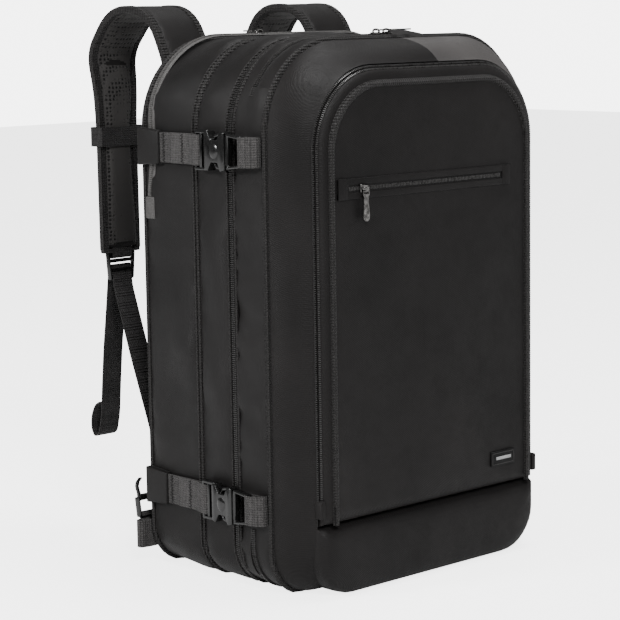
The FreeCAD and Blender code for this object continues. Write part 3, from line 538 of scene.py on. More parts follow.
# a fabric ring between two seams: fuller in its middle, puckered at its seams, softly dented
def makeGusset(name, gusset):
    front, back = gusset["front"] * mm, gusset["back"] * mm
    piece = makeRing(name, bag, evenStations(back, front, gusset["slices"]), gap=gusset.get("gap"))
    if "skirt" in gusset:  # the cloth that stands in for the zip along the hinge side
        low, high, reach = gusset["skirt"]
        openPiece(piece)
        pickVerts(lambda co: co.x < -bag["half"] * sideShare and low < co.z < high
                  and abs(co.y - front) < 1e-5)
        for _ in range(4):
            extrudeBy((0, -reach / 4, 0))
        closePiece()
        faceOut(piece)

    def settle(co, normal):
        outward = Vector((normal.x, 0, normal.z))
        if "skirt" in gusset and co.x < -sideShare * bag["half"]:
            share = (back - co.y) / (back - front + gusset["skirt"][2])
        else:
            share = min(1.0, (back - co.y) / (back - front))
        middle = math.sin(math.pi * min(1.0, max(0.0, share)))
        edge = 1 - middle
        free = strapFree(co)
        swell = gusset["full"] * mm * middle ** 0.6 * free
        dent = gusset["dent"] * mm * wavy(co, gusset["dentScale"], gusset["seed"]) * middle ** 0.5 * free
        along = Vector((co.x, co.y * 0.25, co.z))
        pucker = gusset["pucker"] * mm * wavy(along, gusset["puckerScale"], gusset["seed"] + 7)
        pucker *= (0.35 + 0.65 * edge) * max(free, 0.2) * (0.3 + 0.7 * min(1.0, middle * 4))
        return outward * (swell + dent + pucker)

    moveVerts(piece, settle)
    thickenIn(piece, bag["wall"])
    return finishPiece(piece, gusset["finish"], gusset["body"], gusset["nodes"], 60)


gussets = {
    "rearGusset": {"back": 86, "front": 14, "slices": 14, "full": 3.8, "dent": 7.0, "dentScale": 13,
                   "pucker": 1.9, "puckerScale": 60, "seed": 3.0, "finish": "twillSide", "body": "bag",
                   "nodes": ["rear_gusset"]},
    "midGusset": {"back": 6, "front": -39, "slices": 10, "full": 3.0, "dent": 5.6, "dentScale": 17,
                  "pucker": 2.2, "puckerScale": 60, "seed": 8.0, "finish": "twillSide", "body": "bag",
                  "nodes": ["mid_gusset"]},
    "frontStrip": {"back": -45.4, "front": -62, "slices": 5, "full": 1.6, "dent": 3.4, "dentScale": 34,
                   "pucker": 4.2, "puckerScale": 80, "seed": 5.0, "finish": "twillSide",
                   "body": "front_frame", "nodes": ["front_strip"],
                   "skirt": (54 * mm, 482 * mm, 25.6 * mm)},
    "lidGusset": {"back": -68.4, "front": -88, "slices": 5, "full": 1.6, "dent": 1.4, "dentScale": 20,
                  "pucker": 0.7, "puckerScale": 70, "seed": 11.0, "finish": "twillSide", "body": "lid",
                  "nodes": ["lid_gusset"], "gap": (62 * mm, 474 * mm)},
}
for name, gusset in gussets.items():
    makeGusset(name, gusset)
print("gussets sewn")

# rounded beads that cover the seams: each is a run of (y, rise) in mm
beads = {
    "rearPiping": {"line": [(14.6, -1), (14, 0.6), (13, 2), (11.9, 2.4), (10.9, 1.9), (10, 0.7), (9.1, 1.9),
                            (8.1, 2.4), (7, 2), (6, 0.6), (5.4, -1)],
                   "body": "bag", "nodes": ["rear_piping"]},
    "backEdge": {"line": [(84.6, -0.5), (85.2, 1.3), (86.6, 2.4), (88.4, 2.4), (89.8, 1.3), (90.2, -2)],
                 "body": "bag", "nodes": []},
    "expansionHemRear": {"line": [(-35.6, 0.4), (-36.2, 1.6), (-37.4, 2), (-38.5, 1.6), (-39, 0.2)],
                         "body": "bag", "nodes": []},
    "expansionHemFront": {"line": [(-45.4, 0.2), (-45.9, 1.6), (-47, 2), (-48.2, 1.6), (-48.8, 0.4)],
                          "body": "front_frame", "nodes": []},
    "frontPiping": {"line": [(-87.9, -1), (-88.2, 1.2), (-89.2, 2.6), (-90.6, 2.9), (-92, 2.2),
                             (-92.9, 0.8), (-93.2, -1.4)],
                    "body": "lid", "nodes": ["front_piping"]},
}
for name, bead in beads.items():
    piece = makeRing(name, bag, inMetres(bead["line"]), wall=1.2 * mm)
    finishPiece(piece, "binding", bead["body"], bead["nodes"], 70)

# the tapes that the zip coils are sewn to
hingeGap = (62 * mm, 474 * mm)
tapes = {
    "expansionTapeRear": {"line": [(-38.6, -0.6), (-40.4, -0.3), (-42.1, -0.3)], "body": "bag",
                          "nodes": ["expansion_zip_rear"], "gap": None},
    "expansionTapeFront": {"line": [(-42.3, -0.3), (-44, -0.3), (-45.8, -0.6)], "body": "front_frame",
                           "nodes": ["expansion_zip_front"], "gap": None},
    "mainTapeRear": {"line": [(-61.4, -0.4), (-62.2, 0.5), (-64.9, 0.5)], "body": "front_frame",
                     "nodes": ["main_zip_rear"], "gap": hingeGap},
    "mainTapeFront": {"line": [(-65.5, 0.5), (-68.2, 0.5), (-69, -0.4)], "body": "lid",
                      "nodes": ["main_zip_front"], "gap": hingeGap},
}
for name, tape in tapes.items():
    piece = makeRing(name, bag, inMetres(tape["line"]), wall=0.9 * mm, gap=tape["gap"])
    finishPiece(piece, "tapeBlack", tape["body"], tape["nodes"], 60)
print("seams and tapes ready")

# the back panel closes the shell behind, a little fuller in its middle
backShell = {"line": [(87, -0.6), (89, -1.6), (90, -4), (90.3, -20), (90.4, -45), (90.4, -80), (90.4, -120),
                      (90.4, -160)]}
piece = makeSkin("backPanel", bag, backShell["line"])
thickenIn(piece, 2 * mm)
finishPiece(piece, "twill", "bag", ["back_panel"], 50)

# the lid's face: the soft margin that swells from the piping to the pocket's zip, then the hidden panel
lidFace = {
    "line": [(-92, -0.4), (-94.5, -0.7), (-99, -2), (-105, -4.6), (-111, -8), (-117, -12), (-122, -16.2),
             (-126, -20), (-128.4, -22.2), (-129.4, -23), (-128.6, -23.6), (-120, -23.6), (-108, -23.6),
             (-97, -24), (-96.4, -30), (-96.4, -80), (-96.4, -150)],
    "dent": 4.0, "dentScale": 11,
}
piece = makeSkin("frontPanel", bag, lidFace["line"])


def settleMargin(co, normal):
    depth = (-92 * mm - co.y) / (37 * mm)
    if depth <= 0 or depth > 0.99 or normal.y > -0.05:
        return Vector()
    share = math.sin(math.pi * min(1.0, depth))
    return normal * (lidFace["dent"] * mm * share * wavy(co, lidFace["dentScale"], 21.0))


moveVerts(piece, settleMargin)
# the margin's upper right is painted a lighter grey, a painted highlight, up to a slanting edge
paintedHighlight = {"slantEdge": Vector((4 * mm, -94 * mm, 0)), "across": Vector((1, 0.42, 0)).normalized(),
             "low": 436 * mm}
openPiece(piece, everything=True)
slicePiece(paintedHighlight["slantEdge"][:], paintedHighlight["across"][:])
slicePiece((0, 0, paintedHighlight["low"]), (0, 0, 1))
closePiece()
piece.data.materials.append(finishes["twill"])
piece.data.materials.append(finishes["twillHighlight"])
# faces past the slanting edge, high on the margin, take the painted highlight
for face in piece.data.polygons:
    beyond = (face.center - paintedHighlight["slantEdge"]).dot(paintedHighlight["across"]) > 0
    behindPocket = face.center.y > -97.5 * mm and face.normal.y < -0.95
    if beyond and not behindPocket and face.center.z > paintedHighlight["low"] and face.center.y < -92.4 * mm:
        face.material_index = 1
thickenIn(piece, 1.6 * mm)
finishPiece(piece, None, "lid", ["front_panel"], 60)

# the pocket: a domed face with rolled edges
flap = {
    "line": [(-122, -0.6), (-128, -0.6), (-131.5, -1.2), (-134.4, -2.8), (-136.8, -5.6), (-138.2, -9),
             (-138.8, -13), (-139.1, -18), (-139.4, -24), (-139.7, -32), (-139.9, -42), (-140, -54),
             (-140, -68), (-140, -84), (-140, -100), (-140, -118), (-140, -134)],
}
piece = makeSkin("pocketFlap", pocket, flap["line"])


def settleFlap(co, normal):
    if co.y > -136 * mm:
        return Vector()
    inner = smoothStep(-138.6 * mm, -140 * mm, co.y) * smoothStep(14 * mm, 34 * mm, abs(co.z - 388 * mm))
    fold = math.sin(co.x * 30 + 1.2 * math.sin(co.z * 9)) * smoothStep(0.36, 0.1, co.z) * 2.0 * mm
    return Vector((0, -1, 0)) * (inner * (3.2 * mm * wavy(co, 8, 31.0) + fold))


moveVerts(piece, settleFlap)
thickenIn(piece, 1.6 * mm)
finishPiece(piece, "twill", "pocket", ["pocket_flap"], 60)

# the boot of the front: wraps the lower corners below the pocket
boot = {"half": 150.6 * mm, "low": -0.2 * mm, "high": 70 * mm, "lowRound": 45 * mm, "highRound": 0,
        "step": 8 * mm,
        "line": [(-96.4, 0), (-110, 0), (-122, 0), (-129, -0.4), (-134, -2.6), (-137.4, -6.4),
                 (-139.2, -11), (-140.2, -18), (-140.8, -26), (-141, -34)]}
piece = makeSkin("frontBoot", boot, boot["line"])
thickenIn(piece, 1.6 * mm)
finishPiece(piece, "twill", "lid", ["front_base_panel"], 60)
print("front sewn")


# steps along the outline at a pitch: where, which way it runs, and which way is out
def walkOutline(shape, grow, pitch, keep):
    half, low, high = shape["half"] + grow, shape["low"] - grow, shape["high"] + grow
    lower = shape["lowRound"] + grow if shape["lowRound"] else 1e-6
    upper = shape["highRound"] + grow
    corners = [(half - lower, low + lower, lower, -90), (half - upper, high - upper, upper, 0),
               (-half + upper, high - upper, upper, 90), (-half + lower, low + lower, lower, 180)]
    places, spare = [], 0.0
    for index, (x, z, radius, start) in enumerate(corners):
        sweep = math.pi / 2 * radius
        at = spare
        while at < sweep:
            angle = math.radians(start) + at / radius
            outward = Vector((math.cos(angle), 0, math.sin(angle)))
            places.append((Vector((x, 0, z)) + outward * radius, outward))
            at += pitch
        nextX, nextZ, nextRadius = corners[(index + 1) % 4][:3]
        angle = math.radians(start + 90)
        outward = Vector((round(math.cos(angle)), 0, round(math.sin(angle))))
        begin = Vector((x, 0, z)) + outward * radius
        end = Vector((nextX, 0, nextZ)) + outward * nextRadius
        at -= sweep
        length = (end - begin).length
        while at < length:
            places.append((begin + (end - begin) * (at / length), outward))
            at += pitch
        spare = at - length
    return [(spot, outward) for spot, outward in places if keep(spot)]


# copies of one small part set along a run, each with its own mesh, then made one piece
def copyAlong(name, unit, places):
    clearSelection()
    copies = []
    for place in places:
        twin = bpy.data.objects.new(name, unit.data.copy())
        twin.data.transform(place)
        bpy.context.scene.collection.objects.link(twin)
        copies.append(twin)
    return joinPieces(name, copies)


def frameAt(spot, along, across, out):
    turn = Matrix((along, across, out)).transposed().to_4x4()
    return Matrix.Translation(spot) @ turn


# one turn of a nylon coil: a small rounded bar that ends in a hook
def makeTooth(name, across, turn=1.25 * mm, tall=1.3 * mm):
    tooth = addBlock(name, (-turn / 2, -across / 2, -tall * 0.4), (turn / 2, across / 2, tall * 0.6))
    openPiece(tooth)
    pickVerts(lambda co: co.z > 0)
    bpy.ops.transform.resize(value=(0.6, 0.86, 1))
    closePiece()
    return tooth


tooth = makeTooth("coilTurn", 2.3 * mm)
coils = {
    "expansionCoilRear": {"y": -40.9, "grow": 0.5, "body": "bag", "keep": None},
    "expansionCoilFront": {"y": -43.5, "grow": 0.5, "body": "front_frame", "keep": None},
    "mainCoilRear": {"y": -63.7, "grow": 1.0, "body": "front_frame", "keep": hingeGap},
    "mainCoilFront": {"y": -66.6, "grow": 1.0, "body": "lid", "keep": hingeGap},
}
for name, coil in coils.items():
    gap = coil["keep"]
    walk = walkOutline(bag, coil["grow"] * mm, coilPitch,
                       lambda spot: not (gap and spot.x < -sideShare * bag["half"]
                                         and gap[0] < spot.z < gap[1]))
    across = Vector((0, -1, 0))
    places = [frameAt(spot + Vector((0, coil["y"] * mm, 0)), across.cross(out), across, out)
              for spot, out in walk]
    finishPiece(copyAlong(name, tooth, places), "coil", coil["body"])

# the rear zip: a grey tape with its coil over the arch, and the patch that ends it on each side
rearZip = {"low": 365 * mm, "line": [(69.4, 3.2), (70, 4), (74.6, 4.3), (79, 4), (79.8, 3.2)],
           "coilY": 74.7, "coilRise": 4.7 * mm, "press": 3.4 * mm}
piece = makeSkin("rearZipTape", bag, rearZip["line"], filled=False, floorCut=rearZip["low"])
moveVerts(piece, lambda co, normal:
          Vector((normal.x, 0, normal.z)) * ((strapFree(co) - 1) * rearZip["press"]))
thickenIn(piece, 1.4 * mm)
finishPiece(piece, "tapeGrey", "bag", ["laptop_zip"], 60)
places = []
for spot, out in walkOutline(bag, rearZip["coilRise"], coilPitch,
                             lambda spot: spot.z > rearZip["low"] + 6 * mm):
    spot = spot + out * ((strapFree(spot) - 1) * rearZip["press"]) + Vector((0, rearZip["coilY"] * mm, 0))
    places.append(frameAt(spot, Vector((0, -1, 0)).cross(out), Vector((0, -1, 0)), out))
wideTooth = makeTooth("wideCoilTurn", 3.8 * mm)
finishPiece(copyAlong("rearZipCoil", wideTooth, places), "coilGrey", "bag")
for side, label in ((-1, "Left"), (1, "Right")):
    patch = mmBlock("rearZipEnd" + label, (171, 67.5, 352), (178.4, 81.5, 374), 1.6)
    toSide(patch, side)
    finishPiece(patch, "tapeGrey", "bag")
print("side zips ready")

# the pocket's zip: half a coil on the lid's margin, half on the pocket, and the bead inside it
def pocketPlace(spot, out, y, tilt):
    lean = math.radians(tilt)
    up = out * math.cos(lean) + Vector((0, -1, 0)) * math.sin(lean)
    along = Vector((0, -1, 0)).cross(out)
    return frameAt(spot + Vector((0, y * mm, 0)), along, up.cross(along), up)


pocketWay = dict(pocket, lowRound=0)
for name, grow, y, tilt, body in (("pocketCoilRim", 0.6, -130.4, 30, "lid"),
                                  ("pocketCoilFlap", -1.9, -133.2, 42, "pocket")):
    walk = walkOutline(pocketWay, grow * mm, coilPitch, lambda spot: spot.z > 84 * mm)
    places = [pocketPlace(spot, out, y, tilt) for spot, out in walk]
    finishPiece(copyAlong(name, tooth, places), "coil", body,
                ["pocket_rim"] if body == "lid" else [])
rimTapes = {
    "pocketTapeRim": {"line": [(-124, 0.4), (-127.6, 0.5), (-129.4, 0.9), (-129.9, 1.8)], "body": "lid",
                      "finish": "tapeBlack", "wall": 0.9},
    "pocketBead": {"line": [(-138.3, -11.4), (-139.8, -12), (-141.3, -13.4), (-141.7, -15), (-141.3, -16.6),
                            (-140.2, -17.8), (-139, -18.2)], "body": "pocket", "finish": "binding",
                   "wall": 1.0},
}
for name, tape in rimTapes.items():
    longer = dict(pocket, low=20 * mm)
    piece = makeSkin(name, longer, tape["line"], filled=False, floorCut=pocket["low"] + 0.5 * mm)
    thickenIn(piece, tape["wall"] * mm)
    finishPiece(piece, tape["finish"], tape["body"], (), 60)
for side, label in ((-1, "Left"), (1, "Right")):
    patch = mmBlock("pocketZipEnd" + label, (-151.4, -137.4, 79.5), (-145.4, -126.6, 97), 1.3)
    toSide(patch, -side)
    finishPiece(patch, "twill", "lid")

# the slit pocket across the flap: two folded lips, a dark tape between them and its coil
slit = {"left": -128 * mm, "right": 108 * mm, "level": 388 * mm, "front": -140.1 * mm}
lips = []
for low, high, rise in ((391.2, 397.6, 1.5), (378.2, 384.8, 1.5)):
    lip = addBlock("slitLip", (slit["left"], slit["front"] - rise * mm, low * mm),
                   (slit["right"], slit["front"] + 1.2 * mm, high * mm), 0.9 * mm, 3)
    lips.append(lip)
for edge in (slit["left"], slit["right"] - 12 * mm):
    lips.append(addBlock("slitEnd", (edge, slit["front"] - 1.7 * mm, 378 * mm),
                         (edge + 12 * mm, slit["front"] + 1.2 * mm, 397.8 * mm), 0.8 * mm, 2))
finishPiece(joinPieces("slitLips", lips), "twill", "pocket")
tape = addBlock("slitTape", (slit["left"] + 3 * mm, slit["front"] - 0.5 * mm, 383 * mm),
                (slit["right"] - 3 * mm, slit["front"] + 0.8 * mm, 393 * mm), 0.3 * mm)
finishPiece(tape, "tapeBlack", "pocket", ["slit_zip"])
count = int((slit["right"] - slit["left"] - 28 * mm) / coilPitch)
places = [frameAt(Vector((slit["left"] + 14 * mm + i * coilPitch, slit["front"] - 0.9 * mm, slit["level"])),
                  Vector((1, 0, 0)), Vector((0, 0, 1)), Vector((0, -1, 0))) for i in range(count)]
finishPiece(copyAlong("slitCoil", wideTooth, places), "coil", "pocket")

# a plain woven patch with a stitched border, low on the flap
patchSize = {"left": 79, "right": 114, "low": 94, "high": 109, "hem": 1.6}
left, right, low, high = (patchSize[key] for key in ("left", "right", "low", "high"))
patch = mmBlock("frontPatch", (left, -141.8, low), (right, -140, high), 0.5)
finishPiece(patch, "patch", "pocket", ["front_label"])
stitches = []
hem = patchSize["hem"]
for a, b in (((left + hem, low + hem), (right - hem, low + hem + 0.5)),
             ((left + hem, high - hem - 0.5), (right - hem, high - hem)),
             ((left + hem, low + hem), (left + hem + 0.5, high - hem)),
             ((right - hem - 0.5, low + hem), (right - hem, high - hem))):
    stitches.append(mmBlock("patchStitch", (a[0], -142.1, a[1]), (b[0], -141.5, b[1]), 0.12, 1))
finishPiece(joinPieces("frontPatchStitch", stitches), "webbing", "pocket")
# a plain woven bar stands where a mark would be
bar = mmBlock("frontPatchBar", (left + 7, -142.2, 100.2), (right - 6, -141.6, 103.4), 0.25, 2)
finishPiece(bar, "patchEdge", "pocket")
print("pocket zips and patch ready")


# a window through a plate: both broad faces are inset alike and joined through
def cutWindow(axis, margin, test=lambda centre: True):
    pickFaces(lambda centre, normal: abs(normal[axis]) > 0.9 and test(centre))
    bpy.ops.mesh.inset(thickness=margin, depth=0)
    bpy.ops.mesh.bridge_edge_loops()


def windowPlate(name, low, high, axis, margin, soften):
    plate = addBlock(name, low, high)
    openPiece(plate)
    cutWindow(axis, margin)
    allOut()
    bpy.ops.mesh.select_mode(type="EDGE")
    bpy.ops.mesh.select_all(action="SELECT")
    bpy.ops.mesh.bevel(offset=soften, segments=2, affect="EDGES")
    closePiece()
    return plate


# side-release buckle. x points out from the webbing, y along it and z across it
def makeSocketHalf(name, buckle):
    half, thick = buckle["half"] * mm, buckle["thick"] * mm
    shell = addBlock(name, (0, 0, -half), (thick, 29 * mm, half))
    openPiece(shell)
    for y in (5.5, 9.5, 19, 23.5):
        slicePiece((0, y * mm, 0), (0, 1, 0))
    pickVerts(lambda co: 8 * mm < co.y < 20 * mm)
    bpy.ops.transform.resize(value=(1.0, 1, 0.56), center_override=(0, 14 * mm, 0))
    pickVerts(lambda co: co.y < 0.1 * mm or co.y > 28 * mm)
    bpy.ops.transform.resize(value=(0.9, 1, 0.93), center_override=(thick * 0.5, 0, 0))
    pickFaces(lambda centre, normal: normal.y < -0.9 and centre.y < 0.1 * mm)
    bpy.ops.mesh.inset(thickness=1.8 * mm, depth=0)
    extrudeBy((0, 2.6 * mm, 0))
    closePiece()
    softenEdges(shell, 2.0, 3)
    clearSelection()
    bpy.ops.mesh.primitive_uv_sphere_add(segments=24, ring_count=12, radius=1,
                                         location=(thick * 0.86, 14.2 * mm, 0))
    dome = bpy.context.object
    dome.scale = (2.6 * mm, 7.4 * mm, 8.4 * mm)
    bpy.ops.object.transform_apply(location=True, rotation=True, scale=True)
    ladder = windowPlate(name + "Ladder", (0.6 * mm, 28 * mm, -half), (thick * 0.62, 47 * mm, half), 0,
                         3 * mm, 0.7 * mm)
    bar = addBlock(name + "Bar", (0.8 * mm, 36 * mm, -half + 2 * mm),
                   (thick * 0.6, 39.6 * mm, half - 2 * mm), 0.8 * mm)
    return joinPieces(name, [shell, dome, ladder, bar])


def makeProngHalf(name, buckle):
    half, thick = (buckle["half"] - 2) * mm, buckle["thick"] * mm
    loop = addBlock(name, (1.4 * mm, -22 * mm, -half), (thick - 1.4 * mm, -1 * mm, half))
    openPiece(loop)
    cutWindow(0, 3.2 * mm)
    allOut()
    pickVerts(lambda co: co.y < -17 * mm)
    bpy.ops.transform.resize(value=(1, 1, 0.86), center_override=(0, 0, 0))
    closePiece()
    softenEdges(loop, 1.5, 3)
    parts = [loop, addBlock(name + "Root", (2 * mm, -3.2 * mm, -half * 0.82),
                            (thick - 2 * mm, 1.6 * mm, half * 0.82), 1 * mm)]
    for side in (-1, 1):
        prong = addBlock(name + "Prong", (3.2 * mm, -2 * mm, side * half * 0.78 - 1.7 * mm),
                         (thick - 3.2 * mm, 19 * mm, side * half * 0.78 + 1.7 * mm))
        openPiece(prong)
        for y in (3, 7, 11, 15):
            slicePiece((0, y * mm, 0), (0, 1, 0))
        for y, out in ((3, 0.3), (7, 1.6), (11, 2.4), (15, 1.4), (19, -2.6)):
            pickVerts(lambda co, y=y: abs(co.y - y * mm) < 0.2 * mm)
            bpy.ops.transform.translate(value=(0, 0, side * out * mm))
        closePiece()
        softenEdges(prong, 0.9, 2)
        parts.append(prong)
    return joinPieces(name, parts)


sideBuckle = {"half": 19, "thick": 10, "seat": 176.8 * mm, "front": -48 * mm}
socketHalf = makeSocketHalf("socketHalf", sideBuckle)
prongHalf = makeProngHalf("prongHalf", sideBuckle)


def placeOn(spot, x, y, z):
    return frameAt(Vector(spot), Vector(x), Vector(y), Vector(z))


for label, side in (("left", -1), ("right", 1)):
    for name, level in (("lower", bag["strapLevels"][0]), ("upper", bag["strapLevels"][1])):
        where = name + "_" + label
        place = placeOn((sideBuckle["seat"] * side, sideBuckle["front"], level),
                        (side, 0, 0), (0, 1, 0), (0, 0, side))
        finishPiece(copyPiece(socketHalf, "socket_" + where, place), "plastic", "buckle_" + where,
                    ["strap_female_" + where])
        finishPiece(copyPiece(prongHalf, "prongs_" + where, place), "plastic",
                    "front_frame" if side < 0 else "lid", ["strap_male_" + where])
print("side buckles moulded")


# webbing: a flat band carried along a run of (x, y, z) points in mm. Its width lies along x or z
def makeBand(name, points, width, thick, acrossZ=False, taper=None):
    spots = [Vector(point) * mm for point in points]
    clearSelection()
    bpy.ops.mesh.primitive_plane_add(size=1, location=(0, 0, 0))
    band = bpy.context.object
    band.name = band.data.name = name
    plane = (0, 1) if acrossZ else (1, 2)
    axis = "Z" if acrossZ else "X"
    size = Vector((thick, 0, width)) * mm if acrossZ else Vector((width, 0, thick)) * mm

    def heading(a, b):
        step = b - a
        return math.atan2(step[plane[1]], step[plane[0]])

    runs = [heading(a, b) for a, b in zip(spots, spots[1:])]
    turns = [runs[0]]
    for before, after in zip(runs, runs[1:]):
        swing = (after - before + math.pi) % (2 * math.pi) - math.pi
        turns.append(turns[-1] + swing / 2)
        turns.append(turns[-1] + swing / 2)
    stations = [turns[0]] + [turns[i] for i in range(1, len(turns), 2)] + [turns[-1]]
    # the plane stands square to +Y first, then turns to the run's own heading
    band.rotation_euler = (math.pi / 2, 0, 0)
    bpy.ops.object.transform_apply(location=True, rotation=True, scale=True)
    band.data.transform(Matrix.Diagonal((size.x, 1, size.z, 1)))
    start = stations[0] - (math.pi / 2 if acrossZ else 0)
    band.data.transform(Matrix.Translation(spots[0]) @ Matrix.Rotation(start, 4, axis))
    openPiece(band, everything=True)
    for index in range(1, len(spots)):
        step = spots[index] - spots[index - 1]
        extrudeBy(step[:])
        swing = stations[index] - stations[index - 1]
        if abs(swing) > 1e-6:
            bpy.ops.transform.rotate(value=operatorTurn * swing, orient_axis=axis, orient_type="GLOBAL",
                                     center_override=spots[index][:])
        if taper:
            bpy.ops.transform.resize(value=(taper[index] / taper[index - 1] if not acrossZ else 1, 1, 1),
                                     center_override=spots[index][:])
    closePiece()
    faceOut(band)
    return band


# rounds the corners of a run: each inner corner becomes a short arc
def easeRun(points, radius, cuts=5):
    spots = [Vector(point) for point in points]
    eased = [spots[0]]
    for before, corner, after in zip(spots, spots[1:], spots[2:]):
        inward, outward = (before - corner), (after - corner)
        reach = min(radius, inward.length * 0.48, outward.length * 0.48)
        start, end = corner + inward.normalized() * reach, corner + outward.normalized() * reach
        for i in range(cuts + 1):
            share = i / cuts
            eased.append(start.lerp(corner, share).lerp(corner.lerp(end, share), share))
    eased.append(spots[-1])
    return [tuple(spot) for spot in eased]


def finishBand(band, finish, body, nodes=(), soften=0.5):
    if soften:
        softenEdges(band, soften, 2, 0.9)
    return finishPiece(band, finish, body, nodes, 45)


# side straps: webbing over the gussets from the sewn tab, round the ladder and back on itself
sideStrap = {
    "width": 29.5, "thick": 1.5,
    "line": [(176.6, 78), (176.0, 14), (176.0, -2), (177.6, -8), (181.2, -9), (183.4, -4), (180.2, 6),
             (177.9, 14), (177.8, 40)],
    "tabOver": [(178.6, -66.2), (184.6, -66.2), (186.2, -69), (185.2, -76), (179.6, -85.4), (173.6, -85.8)],
    "tabUnder": [(178.8, -66.2), (177.4, -68), (176.6, -76), (174.2, -84.6), (172.8, -84.8)],
}


def sideRun(side, level, line, radius):
    return easeRun([(side * x, y, level) for x, y in line], radius)


for label, side in (("Left", -1), ("Right", 1)):
    for name, level in (("lower", 84), ("upper", 423)):
        where = name + label
        band = makeBand("sideStrap" + where, sideRun(side, level, sideStrap["line"], 6), sideStrap["width"],
                        sideStrap["thick"], acrossZ=True)
        finishBand(band, "webbing", "bag", ["compression_webbings"])
        over, under = (makeBand(part + where, sideRun(side, level, sideStrap[part], 4), wide, 1.3,
                                acrossZ=True) for part, wide in (("tabOver", 28.6), ("tabUnder", 28.4)))
        tab = joinPieces("buckleTab" + where, [over, under])
        finishBand(tab, "webbing", "front_frame" if side < 0 else "lid",
                   [label.lower() + "_strap_tabs"])
        # stitched cloth tab that holds the strap's rear end
        cover = mmBlock("strapAnchor" + where, (172.2, 58, level - 18.5), (180.4, 90, level + 18.5))
        openPiece(cover)
        pickVerts(lambda co: co.y < 60 * mm)
        bpy.ops.transform.resize(value=(1, 1, 0.86), center_override=(0, 0, level * mm))
        pickVerts(lambda co: co.y < 60 * mm and co.x > 175 * mm)
        bpy.ops.transform.translate(value=(-0.8 * mm, 0, 0))
        closePiece()
        softenEdges(cover, 1.6, 3)
        toSide(cover, side)
        finishPiece(cover, "twillSide", "bag", ["anchor_tabs"])
        # zigzag of thread across the webbing
        for spot, tag in ((52, "A"), (22, "B")):
            zig = [(side * (178.9 if tag == "B" else 177.5), spot + (1.6 if i % 2 else -1.6),
                    level - 14 + i * 28 / 18) for i in range(19)]
            stitches = []
            for a, b in zip(zig, zig[1:]):
                a, b = Vector(a) * mm, Vector(b) * mm
                middle, step = (a + b) / 2, (b - a)
                thread = addBlock("thread", (-0.3 * mm, -step.length / 2, -0.3 * mm),
                                  (0.3 * mm, step.length / 2, 0.3 * mm))
                thread.data.transform(Matrix.Translation(middle) @ Vector((0, 1, 0)).rotation_difference(
                    step).to_matrix().to_4x4())
                stitches.append(thread)
            finishPiece(joinPieces("stitch" + where + tag, stitches), "webbingBlack", "bag")
print("side straps sewn")


# fills a pad: an even skin, blown up a little by its own pressure, then smoothed
def plumpPad(pad, voxel, cap):
    useModifier(pad, "REMESH", mode="VOXEL", voxel_size=voxel)
    rest = [vert.co.copy() for vert in pad.data.vertices]
    focusOn(pad)
    fill = pad.modifiers.new("fill", "CLOTH")
    fill.settings.quality = 4
    fill.settings.mass = 0.25
    fill.settings.use_pressure = True
    fill.settings.uniform_pressure_force = 4
    fill.settings.effector_weights.gravity = 0
    fill.collision_settings.use_collision = False
    scene = bpy.context.scene
    scene.frame_start, scene.frame_end = 1, 20
    for frameNumber in range(1, 21):
        scene.frame_set(frameNumber)
    shown = pad.evaluated_get(bpy.context.evaluated_depsgraph_get())
    blown = [vert.co.copy() for vert in shown.data.vertices]
    pad.modifiers.remove(fill)
    scene.frame_set(1)
    for vert, start, end in zip(pad.data.vertices, rest, blown):
        step = end - start
        if step.length > cap:
            step = step.normalized() * cap
        vert.co = start + step
    useModifier(pad, "SMOOTH", factor=0.5, iterations=3)
    useModifier(pad, "SUBSURF", levels=1, render_levels=1)
    return pad


# two finishes on one pad: the knit where the test says so, the twill elsewhere
def finishPad(pad, body, nodes, isKnit):
    pad.data.materials.clear()
    pad.data.materials.append(finishes["twill"])
    pad.data.materials.append(finishes["mesh"])
    for face in pad.data.polygons:
        face.material_index = 1 if isKnit(face.center, face.normal) else 0
    finishPiece(pad, None, body, nodes, 80)


